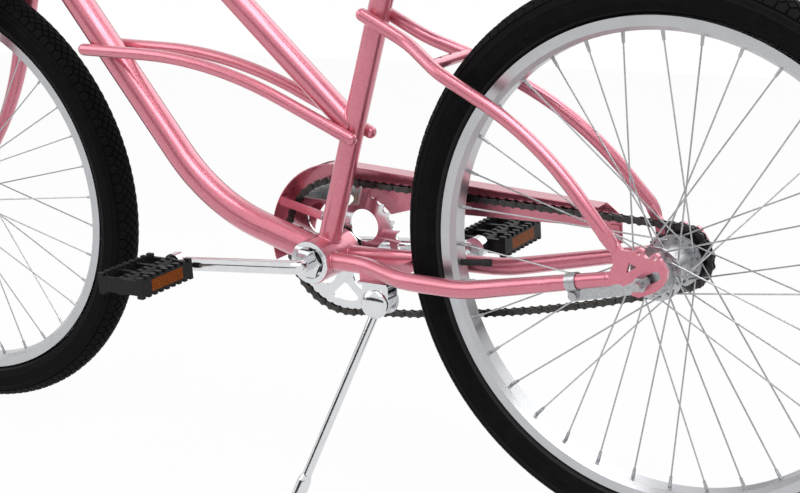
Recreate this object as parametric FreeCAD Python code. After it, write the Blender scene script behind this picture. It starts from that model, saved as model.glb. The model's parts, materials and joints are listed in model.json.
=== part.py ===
import FreeCAD, Part
import math
import os

# A step-through beach cruiser bicycle, parked on its kickstand.
# It is built upright, with the rear axle's centre at the origin, X forward, Y to the left and Z up.
# At the end it leans on the kickstand and its origin moves to the middle of its place on the ground.
# Lengths are in millimetres and angles in degrees.

# Stance
LEAN = 6.6
PARKED_STEER = 5.5

# Fits that every piece shares
RUNNING_CLEARANCE = 0.05
SIDE_CLEARANCE = 0.3
CUT_OVERRUN = 5.0
WELD_BITE = 0.8

# Frame lines
WHEELBASE = 1154.6
BOTTOM_BRACKET_DROP = 36.3
HEAD_ANGLE = 68.0
FORK_RAKE = 45.0
SEAT_ANGLE = 71.3
HEAD_TUBE_START = 404.0
HEAD_TUBE_LENGTH = 236.0
SEAT_TUBE_LENGTH = 376.0

# Frame tubes
HEAD_TUBE_D = 36.0
HEAD_TUBE_WALL = 2.6
SEAT_TUBE_D = 28.6
SEAT_POST_D = 25.4
DOWN_TUBE_D = 38.1
DOWN_TUBE_WALL = 1.8
DOWN_TUBE_HEAD_ANGLE = 52.5
DOWN_TUBE_FOOT_ANGLE = 16.5
DOWN_TUBE_JOINT = 27.0
DOWN_TUBE_BEND = 260.0
TOP_TUBE_D = 31.8
TOP_TUBE_WALL = 1.6
TOP_TUBE_JOINT = 207.0
TOP_TUBE_FOOT = 180.0
SEAT_SLOT_WIDTH = 2.4
SEAT_SLOT_LENGTH = 34.0
SHELL_D = 57.0
SHELL_BORE = 51.4
SHELL_WIDTH = 68.0

# Twin side tubes
TWIN_D = 16.0
TWIN_WALL = 1.5
TWIN_FRONT_REACH = 225.0
TWIN_FRONT_OVERHANG = 22.0
TWIN_REAR_REACH = 175.0
TWIN_REAR_OVERHANG = 12.0
TWIN_FRONT_SLOPE = 1.7
TWIN_REAR_SLOPE = 23.6
TWIN_BEND = 600.0

# Stays
SEATSTAY_D = 16.0
SEATSTAY_WALL = 1.4
SEATSTAY_REACH = 327.0
SEATSTAY_SLOPE = 27.2
SEATSTAY_FOOT_SLOPE = 50.2
SEATSTAY_OVERHANG = 9.0
SEATSTAY_NECK = 60.0
SEATSTAY_SPREAD_RUN = 62.0
SEATSTAY_SHOULDER_Y = 47.5
SEATSTAY_FOOT_Y = 63.4
SEATSTAY_FOOT_X = 42.0
SEATSTAY_FOOT_Z = 49.0
SEATSTAY_BEND = 400.0
SEATSTAY_NECK_BEND = 90.0
SEATSTAY_TIP_LENGTH = 26.0
SEATSTAY_TIP_WIDTH = 20.0
SEATSTAY_TIP_THICKNESS = 6.0
SEATSTAY_PINCH = 9.0
SEATSTAY_PINCH_D = 11.0
CHAINSTAY_D = 22.2
CHAINSTAY_TIP_D = 17.0
CHAINSTAY_WALL = 1.6
CHAINSTAY_Y = 19.2
CHAINSTAY_NECK = 74.0
CHAINSTAY_SPREAD_RUN = 72.0
CHAINSTAY_SHOULDER_Y = 45.5
CHAINSTAY_WAIST_Y = 50.3
CHAINSTAY_WAIST_X = 235.0
CHAINSTAY_SAG = 4.6
CHAINSTAY_FOOT_Y = 55.6
CHAINSTAY_FOOT_X = 46.0
CHAINSTAY_FOOT_Z = -3.0
CHAINSTAY_SOLID_X = 92.0
CHAINSTAY_NECK_BEND = 110.0
CHAINSTAY_WAIST_BEND = 230.0
BRIDGE_D = 14.0
BRIDGE_WALL = 1.4
BRIDGE_X = 270.0
BRIDGE_HOLE_D = 6.0
BRIDGE_HOLE_GAP = 22.0

# Rear dropouts
HUB_SPACING = 110.0
DROPOUT_THICKNESS = 6.0
DROPOUT_REACH = 50.0
DROPOUT_SLOT_ANGLE = 29.0
DROPOUT_SLOT_BACK = 17.0
DROPOUT_OUTLINE_SHARES = (
    (0.92, -0.20), (0.70, -0.13), (0.56, -0.10), (0.40, -0.24), (0.26, -0.34), (0.12, -0.37),
    (-0.24, -0.22), (-0.44, -0.06), (-0.54, 0.12), (-0.56, 0.30), (-0.46, 0.48), (-0.36, 0.60),
    (-0.07, 0.55), (0.04, 0.66), (0.28, 0.67), (0.50, 0.67), (0.62, 0.80), (0.80, 1.10),
    (0.98, 1.02), (0.76, 0.62), (0.72, 0.34), (0.80, 0.16), (0.92, 0.10))
EYELET_R = 5.6
EYELET_HOLE_D = 5.0
EYELET_PLACE_SHARES = ((0.09, 0.65), (-0.28, 0.565))
DROPOUT_WINDOW_SHARES = ((0.34, 0.41), (0.15, 0.33), (0.41, 0.17))

# Headset
STEERER_D = 25.4
STEERER_WALL = 1.6
CUP_D = 43.0
CUP_HEIGHT = 9.0
CUP_PRESS = 9.0
RACE_HEIGHT = 4.0
RACE_GAP = 0.4
LOCKNUT_D = 36.0
LOCKNUT_HEIGHT = 12.0
CUP_ROOM = 1.5
CUP_ROOM_LENGTH = 60.0
BALL_D = 4.0

# Fork
CROWN_WIDTH = 116.0
CROWN_DEPTH = 38.0
CROWN_HEIGHT = 26.0
BLADE_D = 27.0
BLADE_TIP_D = 15.0
BLADE_WALL = 2.0
BLADE_Y = 46.0
BLADE_TIP_Y = 54.0
BLADE_BEND_START_SHARE = 0.45
BLADE_TAPER_START_SHARE = 0.3
BLADE_STATIONS = 8
BLADE_TIP_TRAIL = 6.0
CROWN_ROUND_SHARE = 0.4
FRONT_HUB_SPACING = 100.0
FORK_END_THICKNESS = 5.0
FORK_END_R = 13.0
FORK_END_NECK = 26.0

# Stem, handlebar and grips
QUILL_D = 22.2
QUILL_DEPTH = 95.0
STEM_RISE = 62.0
STEM_REACH = 48.0
STEM_CLAMP_D = 36.0
STEM_CLAMP_WIDTH = 44.0
STEM_NECK_D = 29.0
STEM_BOLT_D = 8.0
BAR_D = 22.2
BAR_CENTRE_D = 25.4
BAR_WALL = 2.0
BAR_CENTRE_HALF = 50.0
BAR_RISE = 92.0
BAR_FORWARD = 34.0
BAR_SHOULDER_Y = 165.0
BAR_CORNER_Y = 300.0
BAR_END_Y = 345.0
BAR_SWEEP = 265.0
BAR_DROP = 22.0
BAR_BEND = 46.0
GRIP_D = 32.0
GRIP_FLANGE_D = 40.0
GRIP_FLANGE = 5.0
GRIP_LENGTH = 128.0
GRIP_END_WALL = 4.0
GRIP_RIBS = 9
GRIP_RIB_DEPTH = 1.4

# Wheels
TYRE_R = 335.3
TYRE_WIDTH = 54.6
TYRE_WALL = 3.4
TREAD_THICKNESS = 5.0
TYRE_BEAD_WIDTH = 3.6
TYRE_BEAD_HEIGHT = 7.0
TYRE_SEAT_GAP = 0.2
RIM_EDGE_R = 285.0
RIM_WIDTH = 34.0
RIM_DEPTH = 17.0
RIM_WALL = 2.2
RIM_BED_WIDTH = 20.0
RIM_KNEE_SHARE = 0.3
TUBE_WALL = 1.2
VALVE_D = 8.0
VALVE_LENGTH = 40.0
VALVE_CAP_D = 9.5
VALVE_CAP_LENGTH = 9.0
SPOKES = 36
SPOKE_CROSSES = 3
SPOKE_D = 2.0
SPOKE_BEND = 2.2
SPOKE_SIDES = 8
SPOKE_FLAT_SHARE = 0.92
SPOKE_HOLE_D = 2.6
SPOKE_LEAN_ROOM = 2.4
NIPPLE_D = 4.4
NIPPLE_LENGTH = 13.0
NIPPLE_SEAT = 1.6
NIPPLE_TIP_SHARE = 0.8
VALVE_SPOKE_SHARE = 0.5

# Rear hub, a coaster brake
REAR_AXLE_D = 10.0
REAR_AXLE_OVERHANG = 27.0
REAR_NUT_WIDTH = 15.0
REAR_NUT_HEIGHT = 11.0
REAR_FLANGE_D = 62.0
REAR_FLANGE_THICKNESS = 3.0
REAR_FLANGE_Y = 27.0
REAR_BARREL_D = 45.0
REAR_BARREL_WALL = 4.0
REAR_HUB_END_Y = 34.0
REAR_HUB_RING_D = 46.0
BRAKE_SHOE_THICKNESS = 5.0
BRAKE_SHOE_LENGTH = 34.0
BRAKE_SHOE_GAP = 0.4
BRAKE_CONE_D = 44.0
BRAKE_CONE_TIP_SHARE = 0.6
BRAKE_ARM_THICKNESS = 3.0
BRAKE_ARM_ROOM = 1.0
BRAKE_ARM_WIDTH = 27.0
BRAKE_ARM_TIP_WIDTH = 13.0
BRAKE_ARM_LENGTH = 93.0
BRAKE_ARM_DROP_ANGLE = 17.4
BRAKE_ARM_ROOT_SHARE = 0.3
BRAKE_ARM_WAIST_SHARE = 0.45
CLIP_THICKNESS = 1.6
CLIP_WIDTH = 13.0
CLIP_BOLT_D = 6.0
CLIP_BOLT_HEAD_D = 10.0

# Front hub
FRONT_AXLE_D = 8.0
FRONT_AXLE_OVERHANG = 20.0
FRONT_NUT_WIDTH = 13.0
FRONT_NUT_HEIGHT = 8.0
FRONT_FLANGE_D = 42.0
FRONT_FLANGE_THICKNESS = 3.0
FRONT_FLANGE_Y = 33.0
FRONT_BARREL_D = 26.0
FRONT_BARREL_WALL = 4.0
FRONT_HUB_END_Y = 40.0
FRONT_CONE_D = 17.0

# Chain drive
CHAIN_PITCH = 12.7
CHAIN_LINKS = 106
CHAIN_SLACK = 1.2
CHAIN_LINE = 41.0
RING_TEETH = 44
COG_TEETH = 18
ROLLER_D = 7.75
ROLLER_WIDTH = 3.6
PIN_D = 3.6
PLATE_HEIGHT = 9.2
PLATE_WAIST = 6.6
PLATE_THICKNESS = 1.0
PLATE_GAP = 0.15
PLATE_KNEE_ANGLE = 50.0
TOOTH_SEAT_ANGLE = 62.0
BISECTIONS = 60
PIN_HEAD = 0.6
SEAT_CLEARANCE = 0.3
TOOTH_HEIGHT = 3.6
TOOTH_TIP_WIDTH = 2.0
RING_THICKNESS = 2.4
COG_THICKNESS = 2.4
RING_HOLE_R = 48.0
RING_HOLE_D = 43.0
RING_HOLES = 4
RING_WINDOW_INNER_R = 47.0
RING_WINDOW_OUTER_R = 74.0
RING_WINDOW_ANGLE = 19.0
RING_WINDOW_ROUND = 5.0
COG_BORE = 34.0
DRIVER_D = 40.0
DRIVER_LIP = 3.0
SPACER_D = 22.0

# Crank and its bearings
CRANK_LENGTH = 165.0
CRANK_SPINDLE_D = 22.0
CRANK_ARM_D = 18.0
CRANK_ROOT_Y = 60.0
CRANK_EYE_Y = 102.0
CRANK_BEND = 14.0
CRANK_EYE_D = 28.0
CRANK_EYE_WIDTH = 14.0
CRANK_COLLAR = 6.0
CRANK_COLLAR_D = 32.0
PEDAL_AXLE_D = 12.0
BRACKET_CUP_D = 55.0
BRACKET_CUP_FLANGE = 3.0
BRACKET_CUP_DEPTH = 9.0
BRACKET_CUP_BORE = 42.0
BRACKET_CONE_D = 30.0
BRACKET_CONE_HEIGHT = 7.0
BRACKET_LOCKNUT_D = 35.0
BRACKET_LOCKNUT_HEIGHT = 5.0

# Pedals
PEDAL_WIDTH = 96.0
PEDAL_LENGTH = 72.0
PEDAL_HEIGHT = 27.0
PEDAL_RAIL = 9.0
PEDAL_BARREL_D = 23.0
PEDAL_GAP = 3.0
PEDAL_RIB = 5.0
PEDAL_RIBS = 4
PEDAL_NOTCHES = 8
PEDAL_NOTCH_DEPTH = 4.0
REFLECTOR_LENGTH = 58.0
REFLECTOR_HEIGHT = 15.0
REFLECTOR_THICKNESS = 4.0

# Chain guard
GUARD_Y = 57.0
GUARD_SHEET = 1.2
GUARD_DEPTH = 24.0
GUARD_R = 112.0
GUARD_START_ANGLE = -14.0
GUARD_OPENING_R = 71.0
GUARD_OPENING_BACK = 12.0
GUARD_TAIL_X = 99.0
GUARD_TAIL_TOP_Z = 52.0
GUARD_TAIL_CHAMFER_X = 19.0
GUARD_TAIL_CHAMFER_Z = 15.0
GUARD_TAIL_LOW_Z = 21.0
GUARD_TAB_LOW_Z = 4.0
GUARD_TAB_WIDTH = 17.0
GUARD_NOTCH_X = 374.0
GUARD_NOTCH_Z = 18.0
GUARD_HEEL_ANGLE = 140.0
GUARD_CROWN_ANGLE = 70.0
GUARD_TOE_ANGLE = -12.0
GUARD_FOLD_R = 1.1
STRAP_WIDTH = 12.0
STRAP_THICKNESS = 1.6
STRAP_FRONT_ANGLE = 31.0
STRAP_REAR_RISE = 46.0
STRAP_REAR_Y = 9.0
STRAP_FOOT = 14.0
REAR_TAB_THICKNESS = 2.4
REAR_TAB_WIDTH = 12.0
REAR_TAB_HEIGHT = 22.0

# Kickstand
STAND_PIVOT_BACK = 96.0
STAND_PIVOT_Y = 24.0
STAND_PIVOT_Z = -80.0
STAND_AXIS_SWING = 8.1
STAND_AXIS_TILT = 6.0
STAND_PLATE_LENGTH = 44.0
STAND_PLATE_THICKNESS = 4.0
STAND_PLATE_WIDTH = 66.0
STAND_CHEEK_GAP = 26.0
STAND_CHEEK_THICKNESS = 3.0
STAND_CHEEK_R = 17.0
STAND_PIN_D = 9.0
STAND_PIN_HEAD = 3.0
STAND_FLANGE_WIDTH = 54.0
STAND_EYE_D = 22.0
STAND_LEG_D = 12.0
STAND_LEG_FORWARD = 17.7
STAND_LEG_SPLAY = 22.4
STAND_FOOT_R = 9.0
STAND_FOOT_HEIGHT = 34.0
STAND_FOLD = 98.0

# Seat post and saddle
POST_INSERTION = 75.0
POST_EXPOSED = 120.0
POST_WALL = 1.8
SADDLE_CLAMP_D = 36.0
SADDLE_CLAMP_EDGE = 3.0
SADDLE_BOLT_D = 8.0
SADDLE_NUT_WIDTH = 13.0
SADDLE_NUT_HEIGHT = 7.0
CLAMP_COLLAR_WALL = 4.0
CLAMP_COLLAR_HEIGHT = 15.0
CLAMP_COLLAR_EAR = 14.0
CLAMP_EAR_WIDTH = 18.0
CLAMP_BOLT_D = 8.0
CLAMP_BOLT_LENGTH = 34.0
SADDLE_LENGTH = 270.0
SADDLE_WIDTH = 235.0
SADDLE_THICKNESS = 62.0
SADDLE_REAR_SHARE = 0.56
# Places along the saddle from its back, each with its width and its height, as shares of the largest
SADDLE_STATION_SHARES = (
    (0.00, 0.50, 0.42), (0.06, 0.82, 0.78), (0.18, 1.00, 1.00), (0.32, 0.96, 0.94), (0.48, 0.68, 0.82),
    (0.64, 0.40, 0.78), (0.82, 0.29, 0.78), (0.94, 0.24, 0.66), (1.00, 0.15, 0.40))
SADDLE_CROWN_SHARE = 0.72
SADDLE_SIDE_SHARE = 0.52
SADDLE_FOOT_SHARE = 0.90
SADDLE_PAN_THICKNESS = 4.0
SADDLE_LIFT = 66.0
RAIL_D = 9.0
RAIL_SPREAD = 44.0
RAIL_NOSE_Y = 12.0
RAIL_NOSE_BACK = 26.0
RAIL_NOSE_RUN = 22.0
RAIL_STRAIGHT = 50.0
RAIL_NOSE_BEND = 16.0
RAIL_BEND = 40.0
SPRING_WIRE_D = 5.0
SPRING_D = 36.0
SPRING_TURNS = 5
SPRING_HEIGHT = 52.0
SPRING_Y = 66.0
SPRING_BACK = 88.0
SPRING_SEAT = 3.0
SPRING_ARCS_PER_TURN = 4
SPRING_GAP_POINTS = 40


def vec(x, y, z):
    return FreeCAD.Vector(x, y, z)


def turned(angle):
    """Cosine and sine of an angle in degrees."""
    return math.cos(math.radians(angle)), math.sin(math.radians(angle))


X_AXIS = vec(1, 0, 0)
Y_AXIS = vec(0, 1, 0)
Z_AXIS = vec(0, 0, 1)
HUB = vec(0, 0, 0)


def sprocket_pitch_r(teeth):
    return CHAIN_PITCH / 2 / math.sin(math.pi / teeth)


RING_R = sprocket_pitch_r(RING_TEETH)
COG_R = sprocket_pitch_r(COG_TEETH)


def axle_distance():
    """Distance from bottom bracket to rear axle that leaves the chain its slack."""
    taut = CHAIN_LINKS * CHAIN_PITCH - CHAIN_SLACK
    around = (RING_TEETH + COG_TEETH) / 2 * CHAIN_PITCH
    step = (RING_R - COG_R) ** 2
    straight = (taut - around) / 2
    return (straight + math.sqrt(straight ** 2 - 2 * step)) / 2


AXLE_DISTANCE = axle_distance()
BRACKET_X = math.sqrt(AXLE_DISTANCE ** 2 - BOTTOM_BRACKET_DROP ** 2)
BRACKET = vec(BRACKET_X, 0, -BOTTOM_BRACKET_DROP)
FRONT_HUB = vec(WHEELBASE, 0, 0)
HEAD_COS, HEAD_SIN = turned(HEAD_ANGLE)
STEER_AXIS = vec(-HEAD_COS, 0, HEAD_SIN)
STEER_FORWARD = vec(HEAD_SIN, 0, HEAD_COS)
STEER_FOOT = vec(WHEELBASE - FORK_RAKE / HEAD_SIN, 0, 0)
SEAT_COS, SEAT_SIN = turned(SEAT_ANGLE)
SEAT_AXIS = vec(-SEAT_COS, 0, SEAT_SIN)


def on_head(distance):
    """A point on the steering axis, measured up from the height of the axles."""
    return STEER_FOOT + STEER_AXIS * distance


def on_seat(distance):
    """A point on the seat tube's axis, measured up from the bottom bracket."""
    return BRACKET + SEAT_AXIS * distance


HEAD_LOW = on_head(HEAD_TUBE_START)
HEAD_HIGH = on_head(HEAD_TUBE_START + HEAD_TUBE_LENGTH)
SEAT_TOP = on_seat(SEAT_TUBE_LENGTH)


def mirrored(shape):
    """The same shape on the right-hand side."""
    return shape.mirror(HUB, Y_AXIS)


def rod(start, end, diameter):
    run = end - start
    return Part.makeCylinder(diameter / 2, run.Length, start, run)


def ring_solid(start, end, outer, inner):
    run = end - start
    over = run * (CUT_OVERRUN / run.Length)
    return rod(start, end, outer).cut(rod(start - over, end + over, inner))


def cone(start, end, start_d, end_d):
    run = end - start
    return Part.makeCone(start_d / 2, end_d / 2, run.Length, start, run)


def corner_tangents(points, bends):
    """Start, middle and end of the tangent arc at each inner point of a route."""
    arcs = []
    for before, here, after, bend in zip(points, points[1:], points[2:], bends):
        into = (here - before).normalize()
        out = (after - here).normalize()
        half_turn = into.getAngle(out) / 2
        reach = bend * math.tan(half_turn)
        inward = (out - into).normalize()
        middle = here + inward * (bend / math.cos(half_turn) - bend)
        arcs.append((here - into * reach, middle, here + out * reach))
    return arcs


def bent_rod(points, bends, diameter):
    """A round bar along straight runs joined by tangent arcs."""
    disc = diameter / 2
    pieces = []
    start = points[0]
    for arc, bend, before, here, after in zip(
            corner_tangents(points, bends), bends, points, points[1:], points[2:]):
        pieces.append(rod(start, arc[0], diameter))
        into = (here - before).normalize()
        out = (after - here).normalize()
        axis = into.cross(out).normalize()
        centre = arc[0] + axis.cross(into) * bend
        face = Part.Face(Part.Wire(Part.makeCircle(disc, arc[0], into)))
        angle = math.degrees(into.getAngle(out))
        pieces.append(face.revolve(centre, axis, angle))
        start = arc[2]
    pieces.append(rod(start, points[-1], diameter))
    return pieces[0].fuse(pieces[1:]).removeSplitter()


def bent_tube(points, bends, diameter, wall):
    """A bent tube with open ends."""
    outer = bent_rod(points, bends, diameter)
    return outer.cut(bent_rod(points, bends, diameter - 2 * wall))


def polygon_face(points):
    return Part.Face(Part.makePolygon(list(points) + [points[0]]))


def revolved(edges, centre, axis):
    """A full turn of a closed outline."""
    return Part.Face(Part.Wire(Part.sortEdges(edges)[0])).revolve(centre, axis, 360)


def arc_edge(start, middle, end):
    return Part.Arc(start, middle, end).toShape()


def line_edge(start, end):
    return Part.LineSegment(start, end).toShape()


def lathe(profile, centre, axis):
    """A turned piece: profile holds pairs of a place along the axis and a radius."""
    side = X_AXIS if abs(axis.x) < abs(axis.y) + abs(axis.z) else Z_AXIS
    side = (side - axis * side.dot(axis)).normalize()
    points = [centre + axis * along + side * radius for along, radius in profile]
    return polygon_face(points).revolve(centre, axis, 360)


def prism(start, end, width, sides):
    """A bar with flat sides, of the given width across them."""
    run = end - start
    axis = vec(*run).normalize()
    side = X_AXIS - axis * axis.x
    side = side.normalize()
    other = axis.cross(side)
    corner = width / 2 / math.cos(math.pi / sides)
    points = []
    for index in range(sides):
        cosine, sine = turned(360 / sides * index)
        points.append(start + side * (corner * cosine) + other * (corner * sine))
    return polygon_face(points).extrude(run)


def hexagon(start, end, width):
    return prism(start, end, width, 6)


def around(shape, centre, axis, count, step=None):
    """Copies of a shape turned about an axis."""
    copies = []
    for index in range(count):
        copy = shape.copy()
        copy.rotate(centre, axis, index * (step or 360 / count))
        copies.append(copy)
    return copies


def group(solids):
    return Part.makeCompound(solids)


# Frame tubes

def head_outer():
    return rod(HEAD_LOW, HEAD_HIGH, HEAD_TUBE_D)


def head_tube():
    return ring_solid(HEAD_LOW, HEAD_HIGH, HEAD_TUBE_D, HEAD_TUBE_D - 2 * HEAD_TUBE_WALL)


def shell_outer():
    half = Y_AXIS * (SHELL_WIDTH / 2)
    return rod(BRACKET - half, BRACKET + half, SHELL_D)


def bottom_bracket_shell():
    half = Y_AXIS * (SHELL_WIDTH / 2)
    return ring_solid(BRACKET - half, BRACKET + half, SHELL_D, SHELL_BORE)


def seat_outer():
    return rod(BRACKET, SEAT_TOP, SEAT_TUBE_D)


def seat_tube():
    bore = SEAT_POST_D + 2 * RUNNING_CLEARANCE
    over = SEAT_AXIS * CUT_OVERRUN
    tube = rod(BRACKET, SEAT_TOP, SEAT_TUBE_D).cut(rod(BRACKET, SEAT_TOP + over, bore))
    slot_start = on_seat(SEAT_TUBE_LENGTH - SEAT_SLOT_LENGTH)
    back = vec(-SEAT_SIN, 0, -SEAT_COS)
    side = Y_AXIS * (SEAT_SLOT_WIDTH / 2)
    reach = back * SEAT_TUBE_D
    corner = polygon_face([slot_start - side, slot_start + side,
                           slot_start + side + reach, slot_start - side + reach])
    slot = corner.extrude(SEAT_AXIS * (SEAT_SLOT_LENGTH + CUT_OVERRUN))
    return tube.cut(slot).cut(shell_outer())


def meeting(start, start_angle, end, end_angle):
    """Where two lines in the bicycle's middle plane cross."""
    start_cos, start_sin = turned(start_angle)
    end_cos, end_sin = turned(end_angle)
    gap = end - start
    scale = start_cos * end_sin - start_sin * end_cos
    along = (gap.x * end_sin - gap.z * end_cos) / scale
    return start + vec(start_cos, 0, start_sin) * along


DOWN_TUBE_TOP = on_head(HEAD_TUBE_START + DOWN_TUBE_JOINT)
DOWN_TUBE_CORNER = meeting(BRACKET, DOWN_TUBE_FOOT_ANGLE, DOWN_TUBE_TOP, DOWN_TUBE_HEAD_ANGLE)


def down_outer():
    return bent_rod([DOWN_TUBE_TOP, DOWN_TUBE_CORNER, BRACKET], [DOWN_TUBE_BEND], DOWN_TUBE_D)


def down_tube():
    tube = bent_tube([DOWN_TUBE_TOP, DOWN_TUBE_CORNER, BRACKET], [DOWN_TUBE_BEND],
                     DOWN_TUBE_D, DOWN_TUBE_WALL)
    cup_room = rod(HEAD_LOW - STEER_AXIS * CUP_ROOM_LENGTH, HEAD_LOW, CUP_D + 2 * CUP_ROOM)
    tube = tube.cut(head_outer()).cut(shell_outer()).cut(seat_outer()).cut(cup_room)
    return max(tube.Solids, key=lambda solid: solid.Volume)


def top_outer():
    start = on_head(HEAD_TUBE_START + TOP_TUBE_JOINT)
    return rod(start, on_seat(TOP_TUBE_FOOT), TOP_TUBE_D)


def top_tube():
    start = on_head(HEAD_TUBE_START + TOP_TUBE_JOINT)
    end = on_seat(TOP_TUBE_FOOT)
    tube = ring_solid(start, end, TOP_TUBE_D, TOP_TUBE_D - 2 * TOP_TUBE_WALL)
    tube = tube.cut(head_outer()).cut(seat_outer())
    return max(tube.Solids, key=lambda solid: solid.Volume)


def twin_route():
    """Left side tube, from its end on the down tube to its end on the seat tube."""
    down = (DOWN_TUBE_CORNER - DOWN_TUBE_TOP).normalize()
    front = DOWN_TUBE_TOP + down * TWIN_FRONT_REACH
    rear = on_seat(TWIN_REAR_REACH)
    corner = meeting(front, TWIN_FRONT_SLOPE, rear, TWIN_REAR_SLOPE)
    front_y = (DOWN_TUBE_D + TWIN_D) / 2 - WELD_BITE
    rear_y = (SEAT_TUBE_D + TWIN_D) / 2 - WELD_BITE
    front = front + (front - corner).normalize() * TWIN_FRONT_OVERHANG
    rear = rear + (rear - corner).normalize() * TWIN_REAR_OVERHANG
    share = (front.x - corner.x) / (front.x - rear.x)
    corner_y = front_y + (rear_y - front_y) * share
    return [front + Y_AXIS * front_y, corner + Y_AXIS * corner_y, rear + Y_AXIS * rear_y]


def twin_tubes():
    route = twin_route()
    outer = bent_rod(route, [TWIN_BEND], TWIN_D)
    caps = [Part.makeSphere(TWIN_D / 2, end) for end in (route[0], route[-1])]
    inner = bent_rod(route, [TWIN_BEND], TWIN_D - 2 * TWIN_WALL)
    bores = [Part.makeSphere(TWIN_D / 2 - TWIN_WALL, end) for end in (route[0], route[-1])]
    left = outer.fuse(caps).cut(inner.fuse(bores))
    left = left.cut(down_outer()).cut(seat_outer()).cut(top_outer())
    left = max(left.Solids, key=lambda solid: solid.Volume)
    return group([left, mirrored(left)])


# Stays

def seatstay_route():
    """Left seat stay, from its end beside the seat tube to its flattened foot."""
    neck_y = (SEAT_TUBE_D + SEATSTAY_D) / 2 - WELD_BITE
    slope_cos, slope_sin = turned(SEATSTAY_SLOPE)
    along = vec(-slope_cos, 0, -slope_sin)
    joint = on_seat(SEATSTAY_REACH)
    foot = vec(SEATSTAY_FOOT_X, 0, SEATSTAY_FOOT_Z)
    corner = meeting(joint, SEATSTAY_SLOPE, foot, SEATSTAY_FOOT_SLOPE)
    neck = joint + along * SEATSTAY_NECK
    shoulder = neck + along * SEATSTAY_SPREAD_RUN
    share = (shoulder - corner).Length / ((shoulder - corner).Length + (corner - foot).Length)
    corner_y = SEATSTAY_SHOULDER_Y + (SEATSTAY_FOOT_Y - SEATSTAY_SHOULDER_Y) * share
    tip_back = (corner - foot).normalize() * SEATSTAY_TIP_LENGTH
    return [joint - along * SEATSTAY_OVERHANG + Y_AXIS * neck_y,
            neck + Y_AXIS * neck_y,
            shoulder + Y_AXIS * SEATSTAY_SHOULDER_Y,
            corner + Y_AXIS * corner_y,
            foot + tip_back + Y_AXIS * SEATSTAY_FOOT_Y]


def seatstay_bends():
    return [SEATSTAY_NECK_BEND, SEATSTAY_NECK_BEND, SEATSTAY_BEND]


def seatstay_outer():
    route = seatstay_route()
    stay = bent_rod(route, seatstay_bends(), SEATSTAY_D)
    return stay.fuse(Part.makeSphere(SEATSTAY_D / 2, route[0])).removeSplitter()


def seatstay_tip():
    """The pinched foot of the left seat stay: a cone, and a tongue lapped on its dropout."""
    before, end = seatstay_route()[-2:]
    foot_cos, foot_sin = turned(SEATSTAY_FOOT_SLOPE)
    down = vec(-foot_cos, 0, -foot_sin)
    across = down.cross(Y_AXIS)
    half = Y_AXIS * (SEATSTAY_TIP_THICKNESS / 2)
    inside = vec(end.x, HUB_SPACING / 2 + DROPOUT_THICKNESS, end.z)
    hole_at = inside + down * (SEATSTAY_TIP_LENGTH - SEATSTAY_TIP_WIDTH / 2)
    narrow = across * (SEATSTAY_D / 4)
    broad = across * (SEATSTAY_TIP_WIDTH / 2 - WELD_BITE)
    root = inside - down * SEATSTAY_PINCH
    corners = [root + narrow, root - narrow, hole_at - broad, hole_at + broad]
    tongue = Part.Face(Part.makePolygon(corners + corners[:1])).extrude(half * 2)
    tongue = tongue.fuse(rod(hole_at, hole_at + half * 2, SEATSTAY_TIP_WIDTH))
    pinch_run = (end - before).normalize() * SEATSTAY_PINCH
    pinch = cone(end - pinch_run / 2, end + pinch_run, SEATSTAY_D - 2 * WELD_BITE, SEATSTAY_PINCH_D)
    tip = pinch.fuse(tongue)
    return tip.cut(rod(hole_at - half, hole_at + half * 4, EYELET_HOLE_D))


def seatstay():
    """The left seat stay, with its bore open along the round part."""
    route = seatstay_route()
    stay = seatstay_outer().fuse(seatstay_tip())
    plug = (route[-2] - route[-1]).normalize() * SEATSTAY_D
    bore = bent_rod(route[:-1] + [route[-1] + plug], seatstay_bends(), SEATSTAY_D - 2 * SEATSTAY_WALL)
    stay = stay.cut(bore)
    stay = stay.cut(seat_outer()).cut(dropout())
    return max(stay.Solids, key=lambda solid: solid.Volume)


def chainstay_route():
    """Left chain stay, from the bottom bracket to its dropout."""
    start = vec(BRACKET.x, CHAINSTAY_Y, BRACKET.z)
    neck = start - X_AXIS * CHAINSTAY_NECK
    shoulder_x = neck.x - CHAINSTAY_SPREAD_RUN
    low_z = BRACKET.z - CHAINSTAY_SAG
    return [start, neck,
            vec(shoulder_x, CHAINSTAY_SHOULDER_Y, low_z),
            vec(CHAINSTAY_WAIST_X, CHAINSTAY_WAIST_Y, low_z),
            vec(CHAINSTAY_FOOT_X, CHAINSTAY_FOOT_Y, CHAINSTAY_FOOT_Z)]


def chainstay_bends():
    return [CHAINSTAY_NECK_BEND, CHAINSTAY_NECK_BEND, CHAINSTAY_WAIST_BEND]


def chainstay_body(shrink):
    """The stay's round body with its tapered rear run, smaller all round by a wall."""
    route = chainstay_route()
    last = corner_tangents(route, chainstay_bends())[-1][2]
    straight = bent_rod(route[:3] + [route[3], last], chainstay_bends(), CHAINSTAY_D - shrink)
    taper = cone(last, route[-1], CHAINSTAY_D - shrink, CHAINSTAY_TIP_D - shrink)
    return straight.fuse(taper).removeSplitter()


def chainstay():
    stay = chainstay_body(0)
    end = chainstay_route()[-1]
    stay = stay.fuse(Part.makeSphere(CHAINSTAY_TIP_D / 2, end))
    hollow = chainstay_body(2 * CHAINSTAY_WALL)
    solid_end = Part.makeBox(CHAINSTAY_SOLID_X, HUB_SPACING, HUB_SPACING, vec(0, 0, -HUB_SPACING / 2))
    stay = stay.cut(hollow.cut(solid_end)).cut(brake_arm_room())
    stay = stay.cut(shell_outer()).cut(dropout()).cut(down_outer()).cut(seat_outer())
    return max(stay.Solids, key=lambda solid: solid.Volume)


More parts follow.
